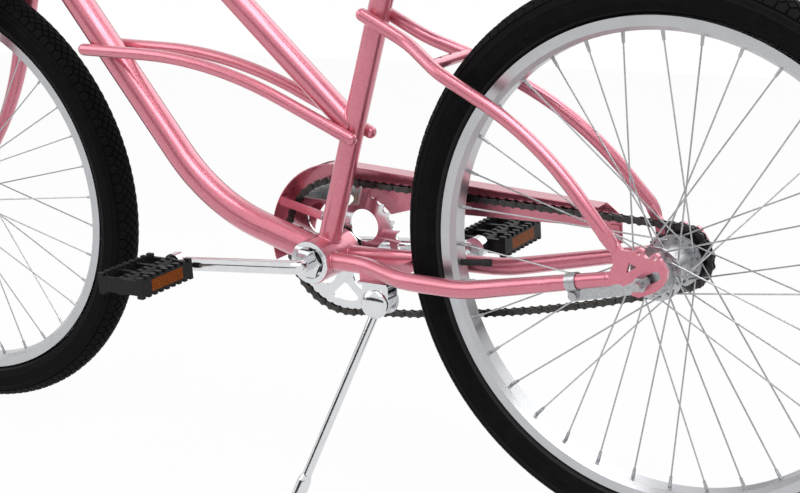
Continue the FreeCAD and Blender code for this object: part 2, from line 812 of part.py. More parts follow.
def chainstay_at(x):
    """Centre and radius of the left chain stay's tapered run at a place along X."""
    route = chainstay_route()
    last = corner_tangents(route, chainstay_bends())[-1][2]
    share = (last.x - x) / (last.x - route[-1].x)
    centre = last + (route[-1] - last) * share
    return centre, (CHAINSTAY_D + (CHAINSTAY_TIP_D - CHAINSTAY_D) * share) / 2


def stay_bridge():
    """The small tube between the seat stays, with holes for a mudguard."""
    route = seatstay_route()
    slope = (route[1] - route[0]).normalize()
    height = route[1].z + (BRIDGE_X - route[1].x) * slope.z / slope.x
    half = Y_AXIS * SEATSTAY_SHOULDER_Y
    middle = vec(BRIDGE_X, 0, height)
    tube = ring_solid(middle - half, middle + half, BRIDGE_D, BRIDGE_D - 2 * BRIDGE_WALL)
    for side in (-1, 0, 1):
        place = middle + Y_AXIS * (side * BRIDGE_HOLE_GAP)
        tube = tube.cut(rod(place - Z_AXIS * BRIDGE_D, place + Z_AXIS * BRIDGE_D, BRIDGE_HOLE_D))
    stays = seatstay_outer()
    tube = tube.cut(stays).cut(mirrored(stays))
    return max(tube.Solids, key=lambda solid: solid.Volume)


# Rear dropouts

def dropout_point(shares, y):
    return vec(shares[0] * DROPOUT_REACH, y, shares[1] * DROPOUT_REACH)


def dropout():
    """The left dropout plate with its eyelets, window and slanted axle slot."""
    inner_y = HUB_SPACING / 2
    thick = Y_AXIS * DROPOUT_THICKNESS
    over = Y_AXIS * CUT_OVERRUN
    plate = polygon_face([dropout_point(p, inner_y) for p in DROPOUT_OUTLINE_SHARES]).extrude(thick)
    for place in EYELET_PLACE_SHARES:
        centre = dropout_point(place, inner_y)
        plate = plate.fuse(rod(centre, centre + thick, 2 * EYELET_R))
    for place in EYELET_PLACE_SHARES:
        centre = dropout_point(place, inner_y)
        plate = plate.cut(rod(centre - over, centre + thick + over, EYELET_HOLE_D))
    window = polygon_face([dropout_point(p, inner_y) - over for p in DROPOUT_WINDOW_SHARES])
    plate = plate.cut(window.extrude(thick + over * 2))
    slot_cos, slot_sin = turned(DROPOUT_SLOT_ANGLE)
    along = vec(-slot_cos, 0, slot_sin)
    across = vec(slot_sin, 0, slot_cos)
    half = REAR_AXLE_D / 2 + SIDE_CLEARANCE
    back = along * DROPOUT_SLOT_BACK + Y_AXIS * inner_y - over
    front = Y_AXIS * inner_y - along * DROPOUT_REACH - over
    slot = polygon_face([back - across * half, back + across * half,
                         front + across * half, front - across * half])
    slot = slot.extrude(thick + over * 2)
    slot = slot.fuse(rod(back, back + thick + over * 2, 2 * half))
    return plate.cut(slot).removeSplitter()


def both_sides(shape):
    return shape, mirrored(shape)


# Headset and fork

def headset_cups():
    """Lower and upper cup, each pressed into its end of the head tube."""
    press_d = HEAD_TUBE_D - 2 * HEAD_TUBE_WALL - 2 * RUNNING_CLEARANCE
    bore = STEERER_D + 2 * SIDE_CLEARANCE
    cups = []
    for end, out in ((HEAD_LOW, STEER_AXIS * -1), (HEAD_HIGH, STEER_AXIS)):
        flange = ring_solid(end, end + out * CUP_HEIGHT, CUP_D, bore)
        collar = ring_solid(end - out * CUP_PRESS, end, press_d, bore)
        track = lathe(ball_track(CUP_HEIGHT), end, out)
        cups.append(flange.fuse(collar).cut(track).removeSplitter())
    return group(cups)


def ball_track(face):
    """Half of a ball's round track, cut in a face across the steering axis."""
    middle = (CUP_D + STEERER_D) / 4
    half = BALL_D / 2 + RUNNING_CLEARANCE
    depth = BALL_D / 2 - RACE_GAP / 2 + RUNNING_CLEARANCE
    return [(face - depth, middle - half), (face - depth, middle + half),
            (face + CUT_OVERRUN, middle + half), (face + CUT_OVERRUN, middle - half)]


def race(end, out):
    """A bearing race that turns with the fork, facing a cup across a narrow gap."""
    start = end + out * (CUP_HEIGHT + RACE_GAP)
    bore = STEERER_D + 2 * RUNNING_CLEARANCE
    ring = ring_solid(start, start + out * RACE_HEIGHT, CUP_D, bore)
    return ring.cut(lathe(ball_track(0), start, out * -1))


def headset_races():
    lower = race(HEAD_LOW, STEER_AXIS * -1)
    upper = race(HEAD_HIGH, STEER_AXIS)
    nut_start = HEAD_HIGH + STEER_AXIS * (CUP_HEIGHT + RACE_GAP + RACE_HEIGHT)
    nut = hexagon(nut_start, nut_start + STEER_AXIS * LOCKNUT_HEIGHT, LOCKNUT_D)
    bore = STEERER_D + 2 * RUNNING_CLEARANCE
    over = STEER_AXIS * CUT_OVERRUN
    nut = nut.cut(rod(nut_start - over, nut_start + STEER_AXIS * LOCKNUT_HEIGHT + over, bore))
    return group([lower, upper, nut])


CROWN_TOP = HEAD_TUBE_START - CUP_HEIGHT - RACE_GAP - RACE_HEIGHT
STEERER_TOP = HEAD_TUBE_START + HEAD_TUBE_LENGTH + CUP_HEIGHT + RACE_GAP + RACE_HEIGHT + LOCKNUT_HEIGHT


def steerer():
    start = on_head(CROWN_TOP - CROWN_HEIGHT)
    return ring_solid(start, on_head(STEERER_TOP), STEERER_D, STEERER_D - 2 * STEERER_WALL)


def fork_crown():
    """A rounded crown that holds the steerer and both blades."""
    low = on_head(CROWN_TOP - CROWN_HEIGHT)
    rise = STEER_AXIS * CROWN_HEIGHT
    end_r = CROWN_DEPTH / 2
    half = Y_AXIS * (CROWN_WIDTH / 2 - end_r)
    side = STEER_FORWARD * end_r
    corners = [low - half - side, low + half - side, low + half + side, low - half + side]
    crown = polygon_face(corners).extrude(rise)
    crown = crown.fuse([rod(low + half, low + half + rise, CROWN_DEPTH),
                        rod(low - half, low - half + rise, CROWN_DEPTH)]).removeSplitter()
    rims = [edge for edge in crown.Edges if abs(edge.tangentAt(edge.FirstParameter).dot(STEER_AXIS)) < 0.5]
    crown = crown.makeFillet(CROWN_HEIGHT * CROWN_ROUND_SHARE, rims)
    over = STEER_AXIS * CUT_OVERRUN
    crown = crown.cut(rod(low - over, low + rise + over, STEERER_D + 2 * RUNNING_CLEARANCE))
    sockets = [rod(blade_point(0, side_y) + rise * CROWN_ROUND_SHARE, low + Y_AXIS * side_y - over, BLADE_D)
               for side_y in (BLADE_Y, -BLADE_Y)]
    crown = crown.cut(sockets[0]).cut(sockets[1])
    hole = low + rise * 0.5
    through = STEER_FORWARD * CROWN_DEPTH
    return crown.cut(rod(hole - through, hole + through, BRIDGE_HOLE_D))


def blade_point(share, side_y):
    """A point on a fork blade's curved line, from the crown at 0 to the fork end at 1."""
    low = on_head(CROWN_TOP - CROWN_HEIGHT)
    drop = (low - FRONT_HUB).dot(STEER_AXIS) - FORK_END_NECK
    curve = max(0, (share - BLADE_BEND_START_SHARE) / (1 - BLADE_BEND_START_SHARE))
    tip_y = math.copysign(BLADE_TIP_Y, side_y)
    y = side_y + (tip_y - side_y) * share
    forward = STEER_FORWARD * ((FORK_RAKE - BLADE_TIP_TRAIL) * curve ** 2)
    return low - STEER_AXIS * (drop * share) + forward + Y_AXIS * y


def blade_body(shrink):
    """A left blade's tapering body, smaller all round by a wall."""
    rings = []
    step = 1 / BLADE_STATIONS
    for index in range(BLADE_STATIONS + 1):
        share = index * step
        here = blade_point(share, BLADE_Y)
        ahead = blade_point(min(1, share + step), BLADE_Y) - blade_point(max(0, share - step), BLADE_Y)
        taper = max(0, (share - BLADE_TAPER_START_SHARE) / (1 - BLADE_TAPER_START_SHARE))
        radius = (BLADE_D + (BLADE_TIP_D - BLADE_D) * taper - shrink) / 2
        rings.append(Part.Wire(Part.makeCircle(radius, here, ahead)))
    return Part.makeLoft(rings, True, False)


def fork_blade():
    """The left blade, straight above and swept forward below, closed by a round foot."""
    top = blade_point(0, BLADE_Y)
    stub = rod(top, top + STEER_AXIS * (CROWN_HEIGHT * CROWN_ROUND_SHARE), BLADE_D - 2 * RUNNING_CLEARANCE)
    foot = Part.makeSphere(BLADE_TIP_D / 2, blade_point(1, BLADE_Y))
    blade = blade_body(0).cut(blade_body(2 * BLADE_WALL))
    return blade.fuse([stub, foot]).cut(fork_end())


def fork_end():
    """The left slotted plate at the foot of a blade."""
    inner_y = FRONT_HUB_SPACING / 2
    thick = Y_AXIS * FORK_END_THICKNESS
    over = Y_AXIS * CUT_OVERRUN
    centre = vec(FRONT_HUB.x, inner_y, FRONT_HUB.z)
    tip = blade_point(1, BLADE_Y)
    up = vec(tip.x - centre.x, 0, tip.z - centre.z)
    neck_top = centre + up + vec(*up).normalize() * FORK_END_R
    across = vec(*up).normalize().cross(Y_AXIS)
    half = BLADE_TIP_D / 2 - WELD_BITE
    neck = polygon_face([neck_top - across * half, neck_top + across * half,
                         centre + across * FORK_END_R, centre - across * FORK_END_R]).extrude(thick)
    plate = neck.fuse(rod(centre, centre + thick, 2 * FORK_END_R))
    slot_half = FRONT_AXLE_D / 2 + RUNNING_CLEARANCE
    down = vec(*up).normalize() * -(FORK_END_R + CUT_OVERRUN)
    base = centre - over
    slot = polygon_face([base - across * slot_half, base + across * slot_half,
                         base + across * slot_half + down, base - across * slot_half + down])
    slot = slot.extrude(thick + over * 2).fuse(rod(base, base + thick + over * 2, 2 * slot_half))
    return plate.cut(slot).removeSplitter()


# Stem, handlebar and grips

BAR_CENTRE = on_head(STEERER_TOP + STEM_RISE) + STEER_FORWARD * STEM_REACH


def stem():
    """A quill stem: a shaft in the steerer, a swept neck and a split clamp."""
    top = on_head(STEERER_TOP + STEM_RISE - STEM_CLAMP_D / 2)
    quill = rod(on_head(STEERER_TOP - QUILL_DEPTH), top, QUILL_D)
    dome = Part.makeSphere(STEM_NECK_D / 2, top)
    skirt = cone(on_head(STEERER_TOP), top, QUILL_D + WELD_BITE, STEM_NECK_D)
    neck = cone(top, BAR_CENTRE, STEM_NECK_D, STEM_CLAMP_D - STEM_BOLT_D)
    half = Y_AXIS * (STEM_CLAMP_WIDTH / 2)
    clamp = rod(BAR_CENTRE - half, BAR_CENTRE + half, STEM_CLAMP_D)
    ear_at = BAR_CENTRE - STEER_AXIS * (STEM_CLAMP_D / 2)
    ear_half = Y_AXIS * (STEM_CLAMP_WIDTH / 4)
    ear = rod(ear_at - ear_half, ear_at + ear_half, STEM_CLAMP_D / 2)
    body = quill.fuse([dome, skirt, neck, clamp, ear]).removeSplitter()
    over = Y_AXIS * CUT_OVERRUN
    bore = rod(BAR_CENTRE - half - over, BAR_CENTRE + half + over, BAR_CENTRE_D + 2 * RUNNING_CLEARANCE)
    body = body.cut(bore)
    bolt_top = top + STEER_AXIS * (STEM_NECK_D / 2 - WELD_BITE)
    return body.fuse(rod(bolt_top, bolt_top + STEER_AXIS * STEM_BOLT_D, STEM_BOLT_D * 2)).removeSplitter()


def bar_place(forward, left, up):
    return BAR_CENTRE + vec(forward, left, up)


def bar_route():
    """The left half of the handlebar, from the stem to the grip's end."""
    return [bar_place(0, 0, 0),
            bar_place(0, BAR_CENTRE_HALF, 0),
            bar_place(BAR_FORWARD, BAR_SHOULDER_Y, BAR_RISE),
            bar_place(BAR_FORWARD, BAR_CORNER_Y, BAR_RISE),
            bar_place(BAR_FORWARD - BAR_SWEEP, BAR_END_Y, BAR_RISE - BAR_DROP)]


def bar_bends():
    return [BAR_BEND, BAR_BEND, BAR_BEND]


def handlebar():
    left = bent_rod(bar_route(), bar_bends(), BAR_D)
    bore = bent_rod(bar_route(), bar_bends(), BAR_D - 2 * BAR_WALL)
    half = Y_AXIS * (STEM_CLAMP_WIDTH / 2 + SIDE_CLEARANCE)
    sleeve = rod(BAR_CENTRE - half, BAR_CENTRE + half, BAR_CENTRE_D)
    bar = left.fuse([mirrored(left), sleeve])
    return bar.cut(bore.fuse(mirrored(bore))).removeSplitter()


def grip():
    """The left grip: a ribbed sleeve with a flange and a closed end."""
    corner, end = bar_route()[-2:]
    out = (end - corner).normalize()
    bore = BAR_D / 2 + RUNNING_CLEARANCE
    start = -GRIP_LENGTH
    profile = [(start, bore), (start, GRIP_FLANGE_D / 2), (start + GRIP_FLANGE, GRIP_FLANGE_D / 2)]
    rib = (GRIP_LENGTH - GRIP_FLANGE) / GRIP_RIBS
    for index in range(GRIP_RIBS):
        place = start + GRIP_FLANGE + rib * index
        profile += [(place, GRIP_D / 2 - GRIP_RIB_DEPTH), (place + rib / 2, GRIP_D / 2)]
    profile += [(0, GRIP_D / 2 - GRIP_RIB_DEPTH), (GRIP_END_WALL, GRIP_D / 2 - 2 * GRIP_RIB_DEPTH),
                (GRIP_END_WALL, 0), (RUNNING_CLEARANCE, 0), (RUNNING_CLEARANCE, bore)]
    return lathe(profile, end, out)


# Wheels, built about a hub at the origin with the axle along Y

TYRE_SECTION_R = TYRE_WIDTH / 2
TYRE_CIRCLE_R = TYRE_R - TYRE_SECTION_R
CASING_R = TYRE_SECTION_R - (TYRE_WALL + TREAD_THICKNESS) / 2
CASING_CIRCLE_R = TYRE_R - TREAD_THICKNESS - CASING_R
BEAD_OUT_Y = RIM_WIDTH / 2 - RIM_WALL - TYRE_SEAT_GAP
BEAD_IN_Y = BEAD_OUT_Y - TYRE_BEAD_WIDTH
RIM_BED_R = RIM_EDGE_R - RIM_DEPTH


def section_point(y, radius):
    return vec(radius, y, 0)


def round_meeting(centre_r, section_r, y):
    """Radius at which a round section meets a given Y, on the hub's side."""
    return centre_r - math.sqrt(section_r ** 2 - y ** 2)


def tyre():
    """A round tyre casing whose beads sit inside the rim's walls."""
    outer_foot = round_meeting(TYRE_CIRCLE_R, TYRE_SECTION_R, BEAD_OUT_Y)
    inner_foot = round_meeting(CASING_CIRCLE_R, CASING_R, BEAD_IN_Y)
    bead_r = outer_foot - TYRE_BEAD_HEIGHT
    edges = []
    for side in (1, -1):
        out_y = side * BEAD_OUT_Y
        in_y = side * BEAD_IN_Y
        edges += [
            arc_edge(section_point(out_y, outer_foot),
                     section_point(side * TYRE_SECTION_R, TYRE_CIRCLE_R), section_point(0, TYRE_R)),
            line_edge(section_point(out_y, outer_foot), section_point(out_y, bead_r)),
            line_edge(section_point(out_y, bead_r), section_point(in_y, bead_r)),
            line_edge(section_point(in_y, bead_r), section_point(in_y, inner_foot)),
            arc_edge(section_point(in_y, inner_foot), section_point(side * CASING_R, CASING_CIRCLE_R),
                     section_point(0, CASING_CIRCLE_R + CASING_R))]
    return revolved(edges, HUB, Y_AXIS)


def valve_stem():
    start = X_AXIS * (CASING_CIRCLE_R - CASING_R + TUBE_WALL)
    end = X_AXIS * (RIM_BED_R - VALVE_LENGTH)
    return rod(start, end, VALVE_D).fuse(rod(end, end + X_AXIS * VALVE_CAP_LENGTH, VALVE_CAP_D))


def inner_tube():
    """The inflated tube, with its valve through the rim."""
    outer = Part.makeTorus(CASING_CIRCLE_R, CASING_R - SIDE_CLEARANCE, HUB, Y_AXIS)
    inner = Part.makeTorus(CASING_CIRCLE_R, CASING_R - SIDE_CLEARANCE - TUBE_WALL, HUB, Y_AXIS)
    stem_shape = valve_stem()
    tube = outer.cut(inner)
    return tube.fuse(stem_shape.cut(inner)).removeSplitter()


def spoke_angle(index):
    return 360 / SPOKES * index


def rim():
    """A channel rim with rolled edges, drilled for its spokes and valve."""
    half = RIM_WIDTH / 2
    bed_half = RIM_BED_WIDTH / 2
    knee_r = RIM_BED_R + RIM_DEPTH * RIM_KNEE_SHARE
    outline = [(half, RIM_EDGE_R), (half, knee_r), (bed_half, RIM_BED_R)]
    wall_y = half - RIM_WALL
    well = [(bed_half, RIM_BED_R + RIM_WALL), (wall_y, knee_r + RIM_WALL), (wall_y, RIM_EDGE_R)]
    right = [(-y, radius) for y, radius in reversed(outline)]
    left_well = [(-y, radius) for y, radius in reversed(well)]
    points = [section_point(*place) for place in outline + right + left_well + well]
    hoop = polygon_face(points).revolve(HUB, Y_AXIS, 360)
    start = X_AXIS * (RIM_BED_R - CUT_OVERRUN)
    end = X_AXIS * (RIM_BED_R + RIM_WALL + CUT_OVERRUN)
    holes = around(rod(start, end, NIPPLE_D + 2 * RUNNING_CLEARANCE), HUB, Y_AXIS, SPOKES)
    valve = rod(start, end, VALVE_D + 2 * SIDE_CLEARANCE)
    valve.rotate(HUB, Y_AXIS, spoke_angle(VALVE_SPOKE_SHARE))
    return hoop.cut(group(holes + [valve]))


def turned_about_hub(shape, angle):
    shape.rotate(HUB, Y_AXIS, angle)
    return shape


def wheel_inner_tube():
    return turned_about_hub(inner_tube(), spoke_angle(VALVE_SPOKE_SHARE))


def spoke_solid(hole_r, hole_y, face_out, hole_angle, rim_angle):
    """One spoke: a bent head through the flange, a many-sided wire and a nipple."""
    hole_cos, hole_sin = turned(hole_angle)
    rim_cos, rim_sin = turned(rim_angle)
    hole = vec(hole_r * hole_cos, hole_y, -hole_r * hole_sin)
    bend = hole + Y_AXIS * face_out
    head = hole - Y_AXIS * face_out
    seat = vec(RIM_BED_R * rim_cos, 0, -RIM_BED_R * rim_sin)
    pull = (seat - bend).normalize()
    elbow_end = bend + pull * (2 * SPOKE_BEND)
    nipple_start = seat - pull * NIPPLE_LENGTH
    elbow = bent_rod([head, bend, elbow_end], [SPOKE_BEND], SPOKE_D)
    wire = prism(elbow_end, nipple_start, SPOKE_D * SPOKE_FLAT_SHARE, SPOKE_SIDES)
    nipple = cone(nipple_start, seat, NIPPLE_D * NIPPLE_TIP_SHARE, NIPPLE_D)
    stub = rod(seat, seat + pull * (RIM_WALL + NIPPLE_SEAT), NIPPLE_D * NIPPLE_TIP_SHARE)
    button = rod(head, head - Y_AXIS * (math.copysign(SPOKE_D / 2, face_out)), 2 * SPOKE_D)
    return elbow.fuse([wire, button, nipple, stub]).removeSplitter()


def spokes(flange_d, flange_y, flange_thickness):
    """Crossed spokes: on each side every other one leads and the rest trail."""
    per_side = SPOKES // 2
    pitch = 360 / per_side
    swing = SPOKE_CROSSES * pitch
    hole_r = spoke_hole_r(flange_d)
    reach = flange_thickness / 2 + SPOKE_D / 2 + RUNNING_CLEARANCE
    wires = []
    for side, start in ((1, 0), (-1, pitch / 2)):
        for lead, shift in ((1, 0), (-1, pitch)):
            rim_angle = start + shift
            face = reach + SPOKE_LEAN_ROOM if lead > 0 else reach
            one = spoke_solid(hole_r, side * flange_y, lead * side * face,
                              rim_angle + lead * swing, rim_angle)
            wires += around(one, HUB, Y_AXIS, per_side // 2)
    return group(wires)


def spoke_hole_r(flange_d):
    return flange_d / 2 - 2 * SPOKE_HOLE_D


def flange_holes(flange_d, flange_y, flange_thickness):
    """The spoke holes through both flanges of a hub."""
    per_side = SPOKES // 2
    holes = []
    half = Y_AXIS * (flange_thickness / 2 + RUNNING_CLEARANCE)
    for side, start in ((1, 0), (-1, 360 / SPOKES)):
        centre = X_AXIS * spoke_hole_r(flange_d) + Y_AXIS * (side * flange_y)
        hole = rod(centre - half, centre + half, SPOKE_HOLE_D)
        hole.rotate(HUB, Y_AXIS, start)
        holes += around(hole, HUB, Y_AXIS, per_side)
    return group(holes)


def hub_profile(barrel_d, flange_d, flange_y, thickness, end_y, end_d, bore):
    """Half outline of a hub shell, from its right end to its left end."""
    half = thickness / 2
    barrel = barrel_d / 2
    return [(-end_y, bore / 2), (-end_y, end_d / 2), (-flange_y - half, end_d / 2),
            (-flange_y - half, flange_d / 2), (-flange_y + half, flange_d / 2),
            (-flange_y + half, barrel), (flange_y - half, barrel), (flange_y - half, flange_d / 2),
            (flange_y + half, flange_d / 2), (flange_y + half, end_d / 2), (end_y, end_d / 2),
            (end_y, bore / 2)]


def rear_hub_shell():
    bore = REAR_BARREL_D - 2 * REAR_BARREL_WALL
    shell = lathe(hub_profile(REAR_BARREL_D, REAR_FLANGE_D, REAR_FLANGE_Y, REAR_FLANGE_THICKNESS,
                              REAR_HUB_END_Y, REAR_HUB_RING_D, bore), HUB, Y_AXIS)
    return shell.cut(flange_holes(REAR_FLANGE_D, REAR_FLANGE_Y, REAR_FLANGE_THICKNESS))


def front_hub_shell():
    bore = FRONT_CONE_D + 2 * RUNNING_CLEARANCE
    shell = lathe(hub_profile(FRONT_BARREL_D, FRONT_FLANGE_D, FRONT_FLANGE_Y, FRONT_FLANGE_THICKNESS,
                              FRONT_HUB_END_Y, FRONT_BARREL_D, bore), HUB, Y_AXIS)
    return shell.cut(flange_holes(FRONT_FLANGE_D, FRONT_FLANGE_Y, FRONT_FLANGE_THICKNESS))


def axle(diameter, half_length):
    return rod(Y_AXIS * -half_length, Y_AXIS * half_length, diameter)


def axle_nuts(axle_d, seat_y, width, height):
    """A hexagon nut on each end of an axle, against the plate that it holds."""
    nut = hexagon(Y_AXIS * seat_y, Y_AXIS * (seat_y + height), width)
    over = Y_AXIS * CUT_OVERRUN
    nut = nut.cut(rod(Y_AXIS * seat_y - over, Y_AXIS * (seat_y + height) + over,
                      axle_d + 2 * RUNNING_CLEARANCE))
    return group([nut, mirrored(nut)])


def front_cones():
    """The bearing cones that carry the front hub on its axle."""
    start = FRONT_HUB_END_Y - FRONT_FLANGE_THICKNESS * 2
    ring = ring_solid(Y_AXIS * start, Y_AXIS * (FRONT_HUB_SPACING / 2), FRONT_CONE_D,
                      FRONT_AXLE_D + 2 * RUNNING_CLEARANCE)
    return group([ring, mirrored(ring)])


# Coaster brake

def brake_shoes():
    """Two half-round shoes inside the hub shell."""
    outer = REAR_BARREL_D - 2 * REAR_BARREL_WALL - 2 * BRAKE_SHOE_GAP
    half = Y_AXIS * (BRAKE_SHOE_LENGTH / 2)
    ring = ring_solid(half * -1, half, outer, outer - 2 * BRAKE_SHOE_THICKNESS)
    gap = Part.makeBox(outer * 2, BRAKE_SHOE_LENGTH * 2, BRAKE_SHOE_THICKNESS,
                       vec(-outer, -BRAKE_SHOE_LENGTH, -BRAKE_SHOE_THICKNESS / 2))
    return group(ring.cut(gap).Solids)


def brake_expander():
    """The cone on the axle that spreads the shoes and closes the hub's left end."""
    shoe_bore = (REAR_BARREL_D / 2 - REAR_BARREL_WALL - BRAKE_SHOE_GAP - BRAKE_SHOE_THICKNESS)
    bore = REAR_AXLE_D / 2 + RUNNING_CLEARANCE
    half = BRAKE_SHOE_LENGTH / 2
    start = -half
    arm_y = HUB_SPACING / 2 - BRAKE_ARM_THICKNESS
    cap_y = REAR_HUB_END_Y + SIDE_CLEARANCE
    hub_bore = REAR_BARREL_D / 2 - REAR_BARREL_WALL
    profile = [(start, bore), (start, shoe_bore - SIDE_CLEARANCE), (half, shoe_bore - SIDE_CLEARANCE),
               (half + BRAKE_SHOE_GAP, hub_bore - RUNNING_CLEARANCE),
               (cap_y, hub_bore - RUNNING_CLEARANCE),
               (cap_y, BRAKE_CONE_D / 2), (arm_y, BRAKE_CONE_D / 2 * BRAKE_CONE_TIP_SHARE), (arm_y, bore)]
    return lathe(profile, HUB, Y_AXIS)


def brake_arm_bolt():
    drop_cos, drop_sin = turned(BRAKE_ARM_DROP_ANGLE)
    return vec(BRAKE_ARM_LENGTH * drop_cos, 0, -BRAKE_ARM_LENGTH * drop_sin)


def brake_arm_slab(inner, outer, margin):
    """The arm's flat outline between two places across the bicycle, larger all round by a margin."""
    thick = Y_AXIS * (outer - inner)
    base = Y_AXIS * inner
    bolt = brake_arm_bolt()
    along = vec(*bolt).normalize()
    across = along.cross(Y_AXIS)
    wide = BRAKE_ARM_WIDTH / 2 + margin
    narrow = BRAKE_ARM_TIP_WIDTH / 2 + margin
    root = base + along * (BRAKE_ARM_WIDTH * BRAKE_ARM_ROOT_SHARE)
    waist = across * (BRAKE_ARM_WIDTH / 2 * BRAKE_ARM_WAIST_SHARE + margin)
    strip = polygon_face([base - across * wide, root - across * wide, base + bolt - across * narrow,
                          base + bolt + across * narrow, root + waist, base + waist]).extrude(thick)
    hub = rod(base, base + thick, 2 * wide)
    tip = rod(base + bolt, base + bolt + thick, 2 * narrow)
    return strip.fuse([hub, tip]).removeSplitter()


def brake_arm_room():
    """The space beside the left stay's flattened end that the brake arm lies in."""
    outer = HUB_SPACING / 2 + SIDE_CLEARANCE
    return brake_arm_slab(outer - CHAINSTAY_D, outer, BRAKE_ARM_ROOM)


def brake_arm():
    """A flat steel arm from the axle to a clip under the left chain stay."""
    outer = HUB_SPACING / 2
    inner = outer - BRAKE_ARM_THICKNESS
    over = Y_AXIS * CUT_OVERRUN
    bolt = brake_arm_bolt()
    arm = brake_arm_slab(inner, outer, 0)
    arm = arm.cut(rod(Y_AXIS * inner - over, Y_AXIS * outer + over, REAR_AXLE_D + 2 * RUNNING_CLEARANCE))
    return arm.cut(rod(bolt + Y_AXIS * inner - over, bolt + Y_AXIS * outer + over,
                       CLIP_BOLT_D + 2 * RUNNING_CLEARANCE))


def brake_clip():
    """A strap round the chain stay whose two ends hold the brake arm's tip."""
    bolt = brake_arm_bolt()
    centre, stay_r = chainstay_at(bolt.x)
    route = chainstay_route()
    along = (route[-1] - route[-2]).normalize()
    half = along * (CLIP_WIDTH / 2)
    bore = 2 * (stay_r + SIDE_CLEARANCE)
    ring = ring_solid(centre - half, centre + half, bore + 2 * CLIP_THICKNESS, bore)
    inner = HUB_SPACING / 2 - BRAKE_ARM_THICKNESS
    ears = []
    for y in (inner - CLIP_THICKNESS, inner + BRAKE_ARM_THICKNESS):
        low = vec(bolt.x, y, bolt.z)
        thick = Y_AXIS * CLIP_THICKNESS
        side = X_AXIS * (CLIP_WIDTH / 2)
        high_z = centre.z - stay_r
        top = vec(bolt.x, y, high_z)
        leg = polygon_face([low - side, low + side, top + side, top - side]).extrude(thick)
        ears += [leg, rod(low, low + thick, CLIP_WIDTH)]
    clip = ring.fuse(ears).removeSplitter()
    clip = clip.cut(rod(centre - half * 4, centre + half * 4, bore))
    clip = clip.cut(brake_arm_slab(inner, inner + BRAKE_ARM_THICKNESS, RUNNING_CLEARANCE))
    reach = Y_AXIS * (CLIP_BOLT_HEAD_D * 2)
    middle = vec(bolt.x, inner, bolt.z)
    return clip.cut(rod(middle - reach, middle + reach, CLIP_BOLT_D + 2 * RUNNING_CLEARANCE))


def brake_clip_bolt():
    bolt = brake_arm_bolt()
    inner = HUB_SPACING / 2 - BRAKE_ARM_THICKNESS - CLIP_THICKNESS
    outer = HUB_SPACING / 2 + CLIP_THICKNESS
    start = vec(bolt.x, inner, bolt.z)
    end = vec(bolt.x, outer, bolt.z)
    head = Y_AXIS * (CLIP_BOLT_D / 2)
    shank = rod(start - head, end + head, CLIP_BOLT_D)
    top = rod(end, end + head, CLIP_BOLT_HEAD_D)
    nut = hexagon(start - head, start, CLIP_BOLT_HEAD_D)
    return shank.fuse([top, nut]).removeSplitter()


# Chain drive, on the right-hand side

CHAIN_Y = -CHAIN_LINE
RING_STEP = 360 / RING_TEETH
COG_STEP = 360 / COG_TEETH


def drive_point(centre, radius, angle):
    """A point round a sprocket, with the angle measured up from straight ahead."""
    cosine, sine = turned(angle)
    return vec(centre.x + radius * cosine, CHAIN_Y, centre.z + radius * sine)


def bearing_angle(start, end):
    return math.degrees(math.atan2(end.z - start.z, end.x - start.x))


def chain_pivots():
    """Every pivot of the chain, from the top of the chainring back over the cog and home again."""
    lift = math.degrees(math.asin((RING_R - COG_R) / AXLE_DISTANCE))
    line = bearing_angle(HUB, BRACKET)
    top_angle = line + lift + 90
    pivots = [drive_point(BRACKET, RING_R, top_angle)]
    back = drive_point(HUB, COG_R, top_angle) - pivots[0]
    back = back.normalize() * CHAIN_PITCH
    while (pivots[-1] + back - HUB).dot(back) < 0 or len(pivots) < 2:
        if (pivots[-1] + back).x < drive_point(HUB, COG_R, top_angle).x:
            break
        pivots.append(pivots[-1] + back)
    last = pivots[-1] - vec(0, CHAIN_Y, 0)
    opening = math.degrees(math.acos((last.Length ** 2 + COG_R ** 2 - CHAIN_PITCH ** 2)
                                     / (2 * last.Length * COG_R)))
    angle = bearing_angle(HUB, last) + opening
    low_angle = line - lift - 90 + 360
    while angle <= low_angle + COG_STEP / 2:
        pivots.append(drive_point(HUB, COG_R, angle))
        angle += COG_STEP
    wrapped = round((top_angle - (line - lift - 90)) / RING_STEP)
    bottom = drive_point(BRACKET, RING_R, top_angle - wrapped * RING_STEP)
    spare = CHAIN_LINKS - len(pivots) - wrapped
    pivots += slack_run(pivots[-1], bottom, spare + 1)
    for index in range(wrapped):
        pivots.append(drive_point(BRACKET, RING_R, top_angle - (wrapped - index) * RING_STEP))
    return pivots


def slack_run(start, end, links):
    """Pivots of an even sagging run of links between two places, both left out."""
    reach = (end - start).Length
    low = 0.0
    high = math.pi / links
    for _ in range(BISECTIONS):
        turn = (low + high) / 2
        chord = CHAIN_PITCH * math.sin(links * turn / 2) / math.sin(turn / 2)
        low, high = (turn, high) if chord > reach else (low, turn)
    heading = math.radians(bearing_angle(start, end)) - turn * (links - 1) / 2
    places = []
    here = start
    for _ in range(links - 1):
        here = here + vec(math.cos(heading), 0, math.sin(heading)) * CHAIN_PITCH
        heading += turn
        places.append(here)
    return places


